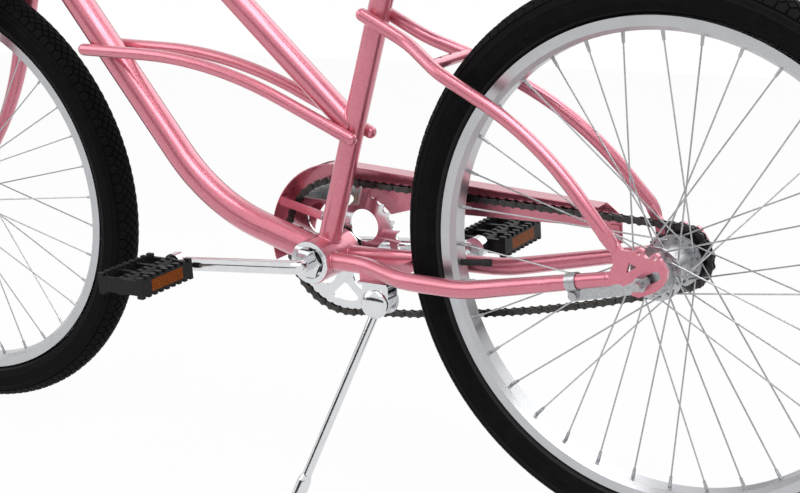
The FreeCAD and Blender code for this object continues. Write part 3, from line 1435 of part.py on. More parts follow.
def plate_face(y):
    """A waisted link plate lying along X from the origin, seen from the side."""
    end_r = PLATE_HEIGHT / 2
    waist = PLATE_WAIST / 2
    middle = CHAIN_PITCH / 2
    knee_cos, knee_sin = turned(PLATE_KNEE_ANGLE)
    knee_x = end_r * knee_cos
    knee_z = end_r * knee_sin
    edges = []
    for centre, side in ((0, -1), (CHAIN_PITCH, 1)):
        edges.append(arc_edge(vec(centre - side * knee_x, y, knee_z), vec(centre + side * end_r, y, 0),
                              vec(centre - side * knee_x, y, -knee_z)))
    for side in (1, -1):
        edges.append(arc_edge(vec(knee_x, y, side * knee_z), vec(middle, y, side * waist),
                              vec(CHAIN_PITCH - knee_x, y, side * knee_z)))
    return Part.Face(Part.Wire(Part.sortEdges(edges)[0]))


def inner_link():
    """Two plates joined by two hollow rollers."""
    half = ROLLER_WIDTH / 2
    plates = [plate_face(half).extrude(Y_AXIS * PLATE_THICKNESS),
              plate_face(-half).extrude(Y_AXIS * -PLATE_THICKNESS)]
    rollers = [rod(vec(x, -half, 0), vec(x, half, 0), ROLLER_D) for x in (0, CHAIN_PITCH)]
    link = plates[0].fuse(plates[1:] + rollers).removeSplitter()
    over = Y_AXIS * (half + PLATE_THICKNESS + CUT_OVERRUN)
    for x in (0, CHAIN_PITCH):
        link = link.cut(rod(X_AXIS * x - over, X_AXIS * x + over, PIN_D + 2 * RUNNING_CLEARANCE))
    return link


def outer_link():
    """Two plates outside the inner links, joined by two riveted pins."""
    near = ROLLER_WIDTH / 2 + PLATE_THICKNESS + PLATE_GAP
    plates = [plate_face(near).extrude(Y_AXIS * PLATE_THICKNESS),
              plate_face(-near).extrude(Y_AXIS * -PLATE_THICKNESS)]
    far = Y_AXIS * (near + PLATE_THICKNESS + PIN_HEAD)
    pins = [rod(X_AXIS * x - far, X_AXIS * x + far, PIN_D) for x in (0, CHAIN_PITCH)]
    return plates[0].fuse(plates[1:] + pins).removeSplitter()


def chain_links(link, first):
    """Every second link of the chain, starting at the given pivot."""
    pivots = chain_pivots()
    links = []
    for index in range(first, len(pivots), 2):
        start = pivots[index]
        end = pivots[(index + 1) % len(pivots)]
        copy = link.copy()
        copy.rotate(HUB, Y_AXIS, -bearing_angle(start, end))
        copy.translate(start)
        links.append(copy)
    return group(links)


def sprocket_blank(teeth, pitch_r, thickness):
    """A toothed disc about the origin, its first tooth gap straight ahead."""
    seat = ROLLER_D / 2 + SEAT_CLEARANCE
    tip_r = pitch_r + TOOTH_HEIGHT
    half_tip = math.degrees(TOOTH_TIP_WIDTH / 2 / tip_r)
    knee_cos, knee_sin = turned(TOOTH_SEAT_ANGLE)
    edges = []
    step = 360 / teeth
    base = -thickness / 2

    def place(radius, across, angle):
        cosine, sine = turned(angle)
        return vec(radius * cosine - across * sine, base, radius * sine + across * cosine)

    for index in range(teeth):
        angle = step * index
        low = place(pitch_r - seat * knee_cos, -seat * knee_sin, angle)
        high = place(pitch_r - seat * knee_cos, seat * knee_sin, angle)
        edges.append(arc_edge(low, place(pitch_r - seat, 0, angle), high))
        tip_near = place(tip_r, 0, angle + step / 2 - half_tip)
        tip_far = place(tip_r, 0, angle + step / 2 + half_tip)
        following = place(pitch_r - seat * knee_cos, -seat * knee_sin, angle + step)
        edges += [line_edge(high, tip_near), line_edge(tip_near, tip_far), line_edge(tip_far, following)]
    outline = Part.Wire(Part.sortEdges(edges)[0])
    return Part.Face(outline).extrude(Y_AXIS * thickness)


def seated_sprocket(blank, centre, pivot):
    """A sprocket set on its axle with a tooth gap under a chain pivot."""
    blank.rotate(HUB, Y_AXIS, -bearing_angle(centre, pivot))
    blank.translate(vec(centre.x, CHAIN_Y, centre.z))
    return blank


def rounded_window(angle):
    """A rounded three-cornered window in the chainring."""
    apex_cos, apex_sin = turned(angle)
    low_cos, low_sin = turned(angle - RING_WINDOW_ANGLE)
    high_cos, high_sin = turned(angle + RING_WINDOW_ANGLE)
    base = -RING_THICKNESS
    inner = RING_WINDOW_INNER_R
    outer = RING_WINDOW_OUTER_R
    apex = vec(inner * apex_cos, base, inner * apex_sin)
    low = vec(outer * low_cos, base, outer * low_sin)
    crown = vec(outer * apex_cos, base, outer * apex_sin)
    high = vec(outer * high_cos, base, outer * high_sin)
    edges = [line_edge(apex, low), arc_edge(low, crown, high), line_edge(high, apex)]
    window = Part.Face(Part.Wire(edges)).extrude(Y_AXIS * (2 * RING_THICKNESS))
    corners = [edge for edge in window.Edges if abs(edge.tangentAt(edge.FirstParameter).y) > 0.9]
    return window.makeFillet(RING_WINDOW_ROUND, corners)


def chainring():
    """The steel chainring, with round holes and three-cornered windows by turns."""
    ring = sprocket_blank(RING_TEETH, RING_R, RING_THICKNESS)
    through = Y_AXIS * RING_THICKNESS
    step = 360 / RING_HOLES
    cuts = [rod(through * -1, through, CRANK_SPINDLE_D + 2 * RUNNING_CLEARANCE)]
    for index in range(RING_HOLES):
        cosine, sine = turned(step * index + step / 2)
        place = vec(RING_HOLE_R * cosine, 0, RING_HOLE_R * sine)
        cuts += [rod(place - through, place + through, RING_HOLE_D), rounded_window(step * index)]
    ring = ring.cut(group(cuts))
    return seated_sprocket(ring, BRACKET, chain_pivots()[0])


def cog_pivot():
    return next(pivot for pivot in chain_pivots() if pivot.x < 0)


def rear_cog():
    cog = sprocket_blank(COG_TEETH, COG_R, COG_THICKNESS)
    through = Y_AXIS * COG_THICKNESS
    cog = cog.cut(rod(through * -1, through, COG_BORE))
    return seated_sprocket(cog, HUB, cog_pivot())


def hub_driver():
    """The driver that the cog sits on, running on the axle at the hub's right end."""
    bore = REAR_AXLE_D / 2 + RUNNING_CLEARANCE
    hub_bore = REAR_BARREL_D / 2 - REAR_BARREL_WALL - RUNNING_CLEARANCE
    shoulder = CHAIN_LINE - COG_THICKNESS / 2
    outside = CHAIN_LINE + COG_THICKNESS / 2
    seat_r = COG_BORE / 2 - RUNNING_CLEARANCE
    deep = BRAKE_SHOE_LENGTH / 2 + SIDE_CLEARANCE
    profile = [(-deep, bore), (-deep, hub_bore), (-REAR_HUB_END_Y - SIDE_CLEARANCE, hub_bore),
               (-REAR_HUB_END_Y - SIDE_CLEARANCE, DRIVER_D / 2), (-shoulder, DRIVER_D / 2),
               (-shoulder, seat_r), (-outside - DRIVER_LIP, seat_r), (-outside - DRIVER_LIP, bore)]
    return lathe(profile, HUB, Y_AXIS)


def axle_spacer():
    """The spacer on the axle between the driver and the right dropout."""
    start = -(CHAIN_LINE + COG_THICKNESS / 2 + DRIVER_LIP + SIDE_CLEARANCE)
    return ring_solid(Y_AXIS * start, Y_AXIS * (-HUB_SPACING / 2), SPACER_D, REAR_AXLE_D + 2 * RUNNING_CLEARANCE)


# Crank, its bearings and the pedals

def crank_arm_route():
    """The left arm, from the spindle out to the pedal eye, with the bottom bracket at the origin."""
    root = Y_AXIS * CRANK_ROOT_Y
    run = vec(CRANK_LENGTH, CRANK_EYE_Y, 0) - root
    return [vec(0, 0, 0), root, root + run * (1 - CRANK_EYE_D / 4 / CRANK_LENGTH)]


def crank():
    """One bent bar: left arm ahead, spindle through the shell, right arm behind."""
    route = crank_arm_route()
    left = bent_rod(route, [CRANK_BEND], CRANK_ARM_D)
    eye = vec(CRANK_LENGTH, CRANK_EYE_Y, 0)
    half = Y_AXIS * (CRANK_EYE_WIDTH / 2)
    left = left.fuse(rod(eye - half, eye + half, CRANK_EYE_D))
    left = left.cut(rod(eye - half * 2, eye + half * 2, PEDAL_AXLE_D + 2 * RUNNING_CLEARANCE))
    right = left.copy()
    right.rotate(HUB, Z_AXIS, 180)
    seat = CHAIN_LINE + RING_THICKNESS / 2
    spindle = rod(Y_AXIS * -seat, Y_AXIS * (BRACKET_END_Y + BRACKET_LOCKNUT_HEIGHT), CRANK_SPINDLE_D)
    collar = rod(Y_AXIS * -(seat + CRANK_COLLAR), Y_AXIS * -seat, CRANK_COLLAR_D)
    bar = left.fuse([right, spindle, collar]).removeSplitter()
    bar.translate(BRACKET)
    return bar


BRACKET_END_Y = SHELL_WIDTH / 2 + BRACKET_CUP_FLANGE + RACE_GAP


def bracket_cups():
    """A bearing cup pressed into each end of the shell."""
    edge = SHELL_WIDTH / 2
    face = edge + BRACKET_CUP_FLANGE
    inner = edge - BRACKET_CUP_DEPTH
    press_r = SHELL_BORE / 2 - RUNNING_CLEARANCE
    floor_r = BRACKET_CONE_D / 2 + SIDE_CLEARANCE
    profile = [(face, BRACKET_CUP_BORE / 2), (face, BRACKET_CUP_D / 2), (edge, BRACKET_CUP_D / 2),
               (edge, press_r), (inner, press_r), (inner, floor_r),
               (inner + BRACKET_CUP_FLANGE, floor_r), (inner + BRACKET_CUP_FLANGE, BRACKET_CUP_BORE / 2)]
    cup = lathe(profile, BRACKET, Y_AXIS)
    return group([cup, mirrored(cup)])


def bracket_cones():
    """Cones on the spindle, with a locknut outside the left one."""
    bore = CRANK_SPINDLE_D / 2 + RUNNING_CLEARANCE
    start = BRACKET_END_Y - BRACKET_CONE_HEIGHT
    left = ring_solid(BRACKET + Y_AXIS * start, BRACKET + Y_AXIS * BRACKET_END_Y, BRACKET_CONE_D, 2 * bore)
    seat = CHAIN_LINE - RING_THICKNESS / 2
    right = ring_solid(BRACKET - Y_AXIS * start, BRACKET - Y_AXIS * seat, BRACKET_CONE_D, 2 * bore)
    nut_end = BRACKET_END_Y + BRACKET_LOCKNUT_HEIGHT
    nut = hexagon(BRACKET + Y_AXIS * BRACKET_END_Y, BRACKET + Y_AXIS * nut_end, BRACKET_LOCKNUT_D)
    over = Y_AXIS * CUT_OVERRUN
    nut = nut.cut(rod(BRACKET, BRACKET + Y_AXIS * nut_end + over, 2 * bore))
    return group([left, right, nut])


LEFT_PEDAL = BRACKET + vec(CRANK_LENGTH, CRANK_EYE_Y, 0)
RIGHT_PEDAL = BRACKET - vec(CRANK_LENGTH, CRANK_EYE_Y, 0)
PEDAL_START = CRANK_EYE_WIDTH / 2 + PEDAL_GAP


def pedal_axles():
    """Both pedal axles, screwed into the crank's eyes."""
    start = -CRANK_EYE_WIDTH / 2
    end = PEDAL_START + PEDAL_WIDTH - PEDAL_RIB
    left = rod(Y_AXIS * start, Y_AXIS * end, PEDAL_AXLE_D)
    left = left.fuse(rod(Y_AXIS * -start, Y_AXIS * (PEDAL_START - SIDE_CLEARANCE), PEDAL_AXLE_D * 1.5))
    right = left.copy()
    right.rotate(HUB, Z_AXIS, 180)
    left.translate(LEFT_PEDAL)
    right.translate(RIGHT_PEDAL)
    return group([left.removeSplitter(), right.removeSplitter()])


def pedal_body():
    """A moulded platform pedal about its axle: a barrel, notched rails and cross ribs."""
    start = PEDAL_START
    width = PEDAL_WIDTH
    half_height = PEDAL_HEIGHT / 2
    half_length = PEDAL_LENGTH / 2
    barrel = rod(Y_AXIS * start, Y_AXIS * (start + width), PEDAL_BARREL_D)
    parts = []
    for side in (-1, 1):
        low_x = half_length - PEDAL_RAIL if side > 0 else -half_length
        parts.append(Part.makeBox(PEDAL_RAIL, width, PEDAL_HEIGHT, vec(low_x, start, -half_height)))
    gap = (width - PEDAL_RIB) / (PEDAL_RIBS - 1)
    rib_height = PEDAL_HEIGHT - 2 * PEDAL_NOTCH_DEPTH
    for index in range(PEDAL_RIBS):
        parts.append(Part.makeBox(PEDAL_LENGTH, PEDAL_RIB, rib_height,
                                  vec(-half_length, start + gap * index, -rib_height / 2)))
    body = barrel.fuse(parts)
    notch = width / (2 * PEDAL_NOTCHES + 1)
    cuts = []
    for index in range(PEDAL_NOTCHES):
        for low_z in (half_height - PEDAL_NOTCH_DEPTH, -half_height - CUT_OVERRUN):
            cuts.append(Part.makeBox(PEDAL_LENGTH + CUT_OVERRUN, notch, PEDAL_NOTCH_DEPTH + CUT_OVERRUN,
                                     vec(-half_length, start + notch * (2 * index + 1), low_z)))
    for side in (-1, 1):
        cuts.append(reflector(side))
    bore = rod(Y_AXIS * (start - CUT_OVERRUN), Y_AXIS * (start + width - PEDAL_RIB + RUNNING_CLEARANCE),
               PEDAL_AXLE_D + 2 * RUNNING_CLEARANCE)
    return body.cut(group(cuts)).cut(bore).removeSplitter()


def reflector(side):
    """An amber reflector let into a pedal rail."""
    low_x = PEDAL_LENGTH / 2 - REFLECTOR_THICKNESS if side > 0 else -PEDAL_LENGTH / 2
    return Part.makeBox(REFLECTOR_THICKNESS, REFLECTOR_LENGTH, REFLECTOR_HEIGHT,
                        vec(low_x, PEDAL_START + (PEDAL_WIDTH - REFLECTOR_LENGTH) / 2, -REFLECTOR_HEIGHT / 2))


def pedal_place(shape, left):
    if not left:
        shape.rotate(HUB, Z_AXIS, 180)
    shape.translate(LEFT_PEDAL if left else RIGHT_PEDAL)
    return shape


# Chain guard and its brackets

def guard_point(centre_x, radius, angle, y):
    cosine, sine = turned(angle)
    return vec(centre_x + radius * cosine, y, BRACKET.z + radius * sine)


def guard_crest_angle():
    """Where the guard's straight top edge leaves its round front."""
    tail = vec(GUARD_TAIL_X, 0, GUARD_TAIL_TOP_Z)
    slope = bearing_angle(tail, BRACKET) + math.degrees(math.asin(GUARD_R / (BRACKET - tail).Length))
    return slope + 90


def guard_plate(y):
    """The guard's flat side, seen from the right, as a face."""
    crest = guard_crest_angle()
    middle = (GUARD_START_ANGLE + crest) / 2
    nose = guard_point(BRACKET.x, GUARD_R, GUARD_START_ANGLE, y)
    top = guard_point(BRACKET.x, GUARD_R, crest, y)
    opening_x = BRACKET.x - GUARD_OPENING_BACK
    heel = guard_point(opening_x, GUARD_OPENING_R, GUARD_HEEL_ANGLE, y)
    toe = guard_point(opening_x, GUARD_OPENING_R, GUARD_TOE_ANGLE, y)
    rear_x = GUARD_TAIL_X - GUARD_TAIL_CHAMFER_X
    corners = [top, vec(GUARD_TAIL_X, y, GUARD_TAIL_TOP_Z),
               vec(rear_x, y, GUARD_TAIL_TOP_Z - GUARD_TAIL_CHAMFER_Z),
               vec(rear_x, y, GUARD_TAB_LOW_Z),
               vec(rear_x + GUARD_TAB_WIDTH, y, GUARD_TAB_LOW_Z),
               vec(rear_x + GUARD_TAB_WIDTH, y, GUARD_TAIL_LOW_Z),
               vec(GUARD_NOTCH_X, y, GUARD_NOTCH_Z), heel]
    edges = [arc_edge(nose, guard_point(BRACKET.x, GUARD_R, middle, y), top)]
    edges += [line_edge(start, end) for start, end in zip(corners, corners[1:])]
    edges.append(arc_edge(heel, guard_point(opening_x, GUARD_OPENING_R, GUARD_CROWN_ANGLE, y), toe))
    edges.append(line_edge(toe, nose))
    return Part.Face(Part.Wire(edges))


def guard_lip(y):
    """The strip that folds inward over the chain along the top and front edges, as a face."""
    crest = guard_crest_angle()
    middle = (GUARD_START_ANGLE + crest) / 2
    outer = [guard_point(BRACKET.x, GUARD_R, angle, y) for angle in (GUARD_START_ANGLE, middle, crest)]
    inner_r = GUARD_R - GUARD_SHEET
    inner = [guard_point(BRACKET.x, inner_r, angle, y) for angle in (GUARD_START_ANGLE, middle, crest)]
    tail = vec(GUARD_TAIL_X, y, GUARD_TAIL_TOP_Z)
    inner_tail = tail + inner[2] - outer[2]
    edges = [arc_edge(*outer), line_edge(outer[2], tail), line_edge(tail, inner_tail),
             line_edge(inner_tail, inner[2]), arc_edge(*inner[::-1]), line_edge(inner[0], outer[0])]
    return Part.Face(Part.Wire(edges))


def chainguard():
    """A pressed sheet guard: a flat side with a folded lip."""
    outside = -GUARD_Y - GUARD_SHEET
    plate = guard_plate(outside).extrude(Y_AXIS * GUARD_SHEET)
    lip = guard_lip(outside).extrude(Y_AXIS * GUARD_DEPTH)
    guard = plate.fuse(lip).removeSplitter()
    crest_edges = [edge for edge in guard.Edges
                   if abs(edge.CenterOfMass.y - outside) < RUNNING_CLEARANCE and guard_fold(edge)]
    return guard.makeFillet(GUARD_FOLD_R, crest_edges)


def guard_fold(edge):
    """Whether an edge lies along the guard's outer fold."""
    start = edge.valueAt(edge.FirstParameter)
    end = edge.valueAt(edge.LastParameter)
    middle = edge.valueAt((edge.FirstParameter + edge.LastParameter) / 2)
    on_round = all(abs(guard_radius(place) - GUARD_R) < RUNNING_CLEARANCE for place in (start, middle, end))
    highest = max(start.z, end.z)
    on_top = min(start.z, end.z) > GUARD_TAIL_TOP_Z - RUNNING_CLEARANCE and highest > GUARD_TAIL_TOP_Z
    return on_round or on_top


def guard_radius(place):
    return math.hypot(place.x - BRACKET.x, place.z - BRACKET.z)


def guard_strap():
    """The flat strap from the lip to the seat tube, with a foot under the lip."""
    lip_y = GUARD_DEPTH - GUARD_SHEET - GUARD_Y
    foot_r = GUARD_R - GUARD_SHEET - STRAP_THICKNESS
    front = guard_point(BRACKET.x, foot_r, STRAP_FRONT_ANGLE, lip_y)
    rear = on_seat(STRAP_REAR_RISE) - Y_AXIS * STRAP_REAR_Y
    run = rear - front
    across = vec(*run).cross(Y_AXIS).normalize() * (STRAP_WIDTH / 2)
    thick = vec(*run).cross(across).normalize() * STRAP_THICKNESS
    blade = polygon_face([front - across, front + across, rear + across, rear - across]).extrude(thick)
    half_angle = math.degrees(STRAP_WIDTH / 2 / foot_r)
    inner = [guard_point(BRACKET.x, foot_r, STRAP_FRONT_ANGLE + turn, lip_y)
             for turn in (-half_angle, 0, half_angle)]
    outer = [guard_point(BRACKET.x, foot_r + STRAP_THICKNESS, STRAP_FRONT_ANGLE + turn, lip_y)
             for turn in (-half_angle, 0, half_angle)]
    edges = [arc_edge(*outer), line_edge(outer[2], inner[2]), arc_edge(*inner[::-1]),
             line_edge(inner[0], outer[0])]
    foot = Part.Face(Part.Wire(edges)).extrude(Y_AXIS * -STRAP_FOOT)
    return blade.fuse(foot).cut(seat_outer()).cut(chainguard())


def guard_rear_tab():
    """The small plate on the right chain stay that the guard's tail is screwed to."""
    middle = GUARD_TAIL_X - GUARD_TAIL_CHAMFER_X + GUARD_TAB_WIDTH / 2
    centre, _ = chainstay_at(middle)
    plate = Part.makeBox(REAR_TAB_WIDTH, REAR_TAB_THICKNESS, REAR_TAB_HEIGHT + GUARD_TAB_LOW_Z - centre.z,
                         vec(middle - REAR_TAB_WIDTH / 2, -GUARD_Y, centre.z))
    return plate.cut(mirrored(chainstay_body(0)))


def guard_brackets():
    strap = max(guard_strap().Solids, key=lambda solid: solid.Volume)
    tab = max(guard_rear_tab().Solids, key=lambda solid: solid.CenterOfMass.z)
    return group([strap, tab])


# Kickstand

STAND_PIVOT = vec(BRACKET.x - STAND_PIVOT_BACK, STAND_PIVOT_Y, STAND_PIVOT_Z)
SWING_COS, SWING_SIN = turned(STAND_AXIS_SWING)
TILT_COS, TILT_SIN = turned(STAND_AXIS_TILT)
STAND_AXIS = vec(-SWING_SIN * TILT_COS, SWING_COS * TILT_COS, TILT_SIN)
FORWARD_COS, FORWARD_SIN = turned(STAND_LEG_FORWARD)
SPLAY_COS, SPLAY_SIN = turned(STAND_LEG_SPLAY)
STAND_LEG = vec(SPLAY_COS * FORWARD_SIN, SPLAY_SIN, -SPLAY_COS * FORWARD_COS)


def stand_plate():
    """The plate welded under both chain stays that carries the kickstand."""
    low = BRACKET.z - CHAINSTAY_D / 2 - STAND_PLATE_THICKNESS
    corner = vec(STAND_PIVOT.x - STAND_PLATE_LENGTH / 2, -STAND_PLATE_WIDTH / 2, low)
    plate = Part.makeBox(STAND_PLATE_LENGTH, STAND_PLATE_WIDTH, STAND_PLATE_THICKNESS + CHAINSTAY_D / 2, corner)
    stay = chainstay_body(0)
    plate = plate.cut(stay).cut(mirrored(stay))
    return min(plate.Solids, key=lambda solid: solid.CenterOfMass.z)


def stand_bracket():
    """The pressed bracket: a top flange and two rounded cheeks either side of the leg's eye."""
    top = BRACKET.z - CHAINSTAY_D / 2 - STAND_PLATE_THICKNESS
    left = STAND_PIVOT.y + STAND_CHEEK_GAP / 2 + STAND_CHEEK_THICKNESS
    flange = Part.makeBox(STAND_PLATE_LENGTH, STAND_FLANGE_WIDTH, STAND_CHEEK_THICKNESS,
                          vec(STAND_PIVOT.x - STAND_PLATE_LENGTH / 2, left - STAND_FLANGE_WIDTH,
                              top - STAND_CHEEK_THICKNESS))
    forward = STAND_AXIS.cross(Z_AXIS).normalize()
    up = forward.cross(STAND_AXIS).normalize()
    rise = up * (top - STAND_PIVOT.z)
    pieces = []
    for side in (-1, 1):
        near = STAND_PIVOT + STAND_AXIS * (side * STAND_CHEEK_GAP / 2)
        thick = STAND_AXIS * (side * STAND_CHEEK_THICKNESS)
        wide = forward * STAND_CHEEK_R
        web = polygon_face([near - wide, near + wide, near + wide + rise, near - wide + rise])
        pieces += [rod(near, near + thick, 2 * STAND_CHEEK_R), web.extrude(thick)]
    bracket = flange.fuse(pieces).removeSplitter()
    block = Part.makeBox(2 * STAND_PLATE_WIDTH, 2 * STAND_PLATE_WIDTH, STAND_PLATE_WIDTH,
                         vec(STAND_PIVOT.x - STAND_PLATE_WIDTH, -STAND_PLATE_WIDTH, top))
    reach = STAND_AXIS * STAND_CHEEK_GAP
    bore = rod(STAND_PIVOT - reach, STAND_PIVOT + reach, STAND_PIN_D + 2 * RUNNING_CLEARANCE)
    return bracket.cut(block).cut(bore)


def stand_pin():
    """The pivot pin, with a head outside each cheek."""
    half = STAND_CHEEK_GAP / 2 + STAND_CHEEK_THICKNESS
    shank = STAND_AXIS * half
    head = STAND_AXIS * (half + STAND_PIN_HEAD)
    pin = rod(STAND_PIVOT - head, STAND_PIVOT + head, STAND_PIN_D)
    for start, end in ((shank, head), (shank * -1, head * -1)):
        pin = pin.fuse(rod(STAND_PIVOT + start, STAND_PIVOT + end, STAND_PIN_D + 2 * STAND_PIN_HEAD))
    return pin.removeSplitter()


def stand_leg():
    """The eye on the pin and the leg, left long: its foot is cut off level with the ground later."""
    half = STAND_AXIS * (STAND_CHEEK_GAP / 2 - SIDE_CLEARANCE)
    eye = rod(STAND_PIVOT - half, STAND_PIVOT + half, STAND_EYE_D)
    drop = TYRE_CIRCLE_R + TYRE_SECTION_R + STAND_PIVOT.z
    slope = STAND_LEG.dot(vec(0, -math.sin(math.radians(LEAN)), math.cos(math.radians(LEAN))))
    length = (drop + STAND_PIVOT.y * math.tan(math.radians(LEAN))) / -slope
    end = STAND_PIVOT + STAND_LEG * (length + STAND_FOOT_R)
    leg = rod(STAND_PIVOT, end, STAND_LEG_D)
    foot_start = end - STAND_LEG * (STAND_FOOT_HEIGHT + STAND_FOOT_R)
    foot = rod(foot_start, end, 2 * STAND_FOOT_R)
    shoulder = cone(foot_start - STAND_LEG * STAND_FOOT_R, foot_start, STAND_LEG_D, 2 * STAND_FOOT_R)
    leg = eye.fuse([leg, shoulder, foot]).removeSplitter()
    reach = STAND_AXIS * STAND_CHEEK_GAP
    return leg.cut(rod(STAND_PIVOT - reach, STAND_PIVOT + reach, STAND_PIN_D + 2 * RUNNING_CLEARANCE))


# Seat post, saddle and springs

POST_TOP = on_seat(SEAT_TUBE_LENGTH + POST_EXPOSED)
POST_FOOT = on_seat(SEAT_TUBE_LENGTH - POST_INSERTION)
RAIL_Z = POST_TOP.z + SADDLE_LIFT - SPRING_HEIGHT - SPRING_SEAT - RAIL_D / 2
PAN_LOW_Z = POST_TOP.z + SADDLE_LIFT
SADDLE_BACK_X = POST_TOP.x - SADDLE_LENGTH * SADDLE_REAR_SHARE


def seat_clamp():
    """The slit collar that pinches the seat tube round the post, with its bolt."""
    low = on_seat(SEAT_TUBE_LENGTH - CLAMP_COLLAR_HEIGHT)
    outer = SEAT_TUBE_D + 2 * CLAMP_COLLAR_WALL
    collar = rod(low, SEAT_TOP, outer)
    back = vec(-SEAT_SIN, 0, -SEAT_COS)
    reach = outer / 2 + CLAMP_COLLAR_EAR
    side = Y_AXIS * (CLAMP_EAR_WIDTH / 2)
    ears = polygon_face([low - side, low + side, low + side + back * reach, low - side + back * reach])
    ears = ears.extrude(SEAT_AXIS * CLAMP_COLLAR_HEIGHT)
    over = SEAT_AXIS * CUT_OVERRUN
    slit = Y_AXIS * (SEAT_SLOT_WIDTH / 2)
    gap = polygon_face([low - over - slit, low - over + slit,
                        low - over + slit + back * (2 * reach), low - over - slit + back * (2 * reach)])
    gap = gap.extrude(SEAT_AXIS * (CLAMP_COLLAR_HEIGHT + 2 * CUT_OVERRUN))
    bolt_place = on_seat(SEAT_TUBE_LENGTH - CLAMP_COLLAR_HEIGHT / 2) + back * (reach - CLAMP_BOLT_D)
    half = Y_AXIS * (CLAMP_BOLT_LENGTH / 2)
    bolt = rod(bolt_place - half, bolt_place + half, CLAMP_BOLT_D)
    collar = collar.fuse(ears).cut(gap).cut(rod(low - over, SEAT_TOP + over, SEAT_TUBE_D))
    return collar.fuse(bolt).removeSplitter()


def seatpost():
    bore = SEAT_POST_D - 2 * POST_WALL
    over = SEAT_AXIS * CUT_OVERRUN
    return rod(POST_FOOT, POST_TOP, SEAT_POST_D).cut(rod(POST_FOOT - over, POST_TOP + over, bore))


def rail_route():
    """The left rail: down from the nose, back through the clamp, out to the spring."""
    nose_x = SADDLE_BACK_X + SADDLE_LENGTH - RAIL_NOSE_BACK
    half = RAIL_SPREAD / 2
    return [vec(nose_x, RAIL_NOSE_Y, PAN_LOW_Z),
            vec(nose_x - RAIL_NOSE_RUN, RAIL_NOSE_Y, RAIL_Z),
            vec(POST_TOP.x + RAIL_STRAIGHT / 2, half, RAIL_Z),
            vec(POST_TOP.x - RAIL_STRAIGHT / 2, half, RAIL_Z),
            vec(POST_TOP.x - SPRING_BACK, SPRING_Y, RAIL_Z)]


def rail(diameter):
    return bent_rod(rail_route(), [RAIL_NOSE_BEND, RAIL_BEND, RAIL_BEND], diameter)


def spring_foot():
    return vec(POST_TOP.x - SPRING_BACK, SPRING_Y, PAN_LOW_Z - SPRING_HEIGHT)


def saddle_rails():
    """Both rails, each with a round seat under its spring."""
    foot = spring_foot()
    seat = rod(foot - Z_AXIS * (SPRING_SEAT + RAIL_D / 2), foot, SPRING_D)
    left = rail(RAIL_D).fuse(seat).removeSplitter()
    left = left.cut(saddle_pan())
    return group([left, mirrored(left)])


def saddle_clamp():
    """The clamp on the post's top that holds both rails, with its cross bolt and nuts."""
    half = RAIL_SPREAD / 2 + RAIL_D / 2 + SADDLE_CLAMP_EDGE
    centre = vec(POST_TOP.x, 0, RAIL_Z)
    barrel = rod(centre - Y_AXIS * half, centre + Y_AXIS * half, SADDLE_CLAMP_D)
    end = half + SADDLE_NUT_HEIGHT
    nuts = [hexagon(centre + Y_AXIS * (side * half), centre + Y_AXIS * (side * end), SADDLE_NUT_WIDTH)
            for side in (1, -1)]
    bolt = rod(centre - Y_AXIS * (end + SADDLE_BOLT_D / 2), centre + Y_AXIS * (end + SADDLE_BOLT_D / 2),
               SADDLE_BOLT_D)
    clamp = barrel.fuse(nuts + [bolt]).removeSplitter()
    rails = rail(RAIL_D + 2 * RUNNING_CLEARANCE)
    clamp = clamp.cut(rails).cut(mirrored(rails))
    return clamp.cut(rod(POST_FOOT, POST_TOP, SEAT_POST_D + 2 * RUNNING_CLEARANCE))


def helix_place(angle):
    """A place and a heading on the spring's centre line, the angle in radians."""
    radius = (SPRING_D - SPRING_WIRE_D) / 2
    climb = (SPRING_HEIGHT - SPRING_WIRE_D) / (2 * math.pi * SPRING_TURNS)
    place = vec(radius * math.cos(angle), radius * math.sin(angle), SPRING_WIRE_D / 2 + climb * angle)
    heading = vec(-radius * math.sin(angle), radius * math.cos(angle), climb)
    return place, heading.normalize()


def tangent_arc(start, corner, end):
    """The arc that touches two equal legs of a corner at their ends."""
    middle = (start + end) / 2
    half_turn = (corner - start).getAngle(end - corner) / 2
    share = math.cos(half_turn) / (1 + math.cos(half_turn))
    return arc_edge(start, middle + (corner - middle) * share, end)


def biarc(start, start_heading, end, end_heading):
    """Two arcs with a common tangent between two places with given headings."""
    chord = end - start
    along = chord.dot(start_heading + end_heading)
    bend = 1 - start_heading.dot(end_heading)
    leg = (math.sqrt(along ** 2 + 2 * bend * chord.dot(chord)) - along) / (2 * bend)
    first = start + start_heading * leg
    second = end - end_heading * leg
    joint = (first + second) / 2
    return [tangent_arc(start, first, joint), tangent_arc(joint, second, end)]


def saddle_spring():
    """One unbroken coil of wire, standing on the rail's spring seat."""
    arcs = []
    step = 2 * math.pi / SPRING_ARCS_PER_TURN
    for index in range(SPRING_TURNS * SPRING_ARCS_PER_TURN):
        start, start_heading = helix_place(step * index)
        end, end_heading = helix_place(step * (index + 1))
        arcs += biarc(start, start_heading, end, end_heading)
    place, heading = helix_place(0)
    section = Part.Wire(Part.makeCircle(SPRING_WIRE_D / 2, place, heading))
    coil = Part.Wire(arcs).makePipeShell([section], True, False)
    solid = Part.Solid(Part.Shell(coil.Faces)) if not coil.Solids else coil.Solids[0]
    solid.translate(spring_foot())
    return solid


def spring_gap():
    """The least open gap between neighbouring curls, measured on points of the centre line."""
    turn = 2 * math.pi
    step = turn / SPRING_GAP_POINTS
    here, _ = helix_place(turn)
    above = [helix_place(turn + turn / 2 + step * index)[0] for index in range(SPRING_GAP_POINTS)]
    return min((place - here).Length for place in above) - SPRING_WIRE_D


def saddle_springs():
    left = saddle_spring()
    return group([left, mirrored(left)])


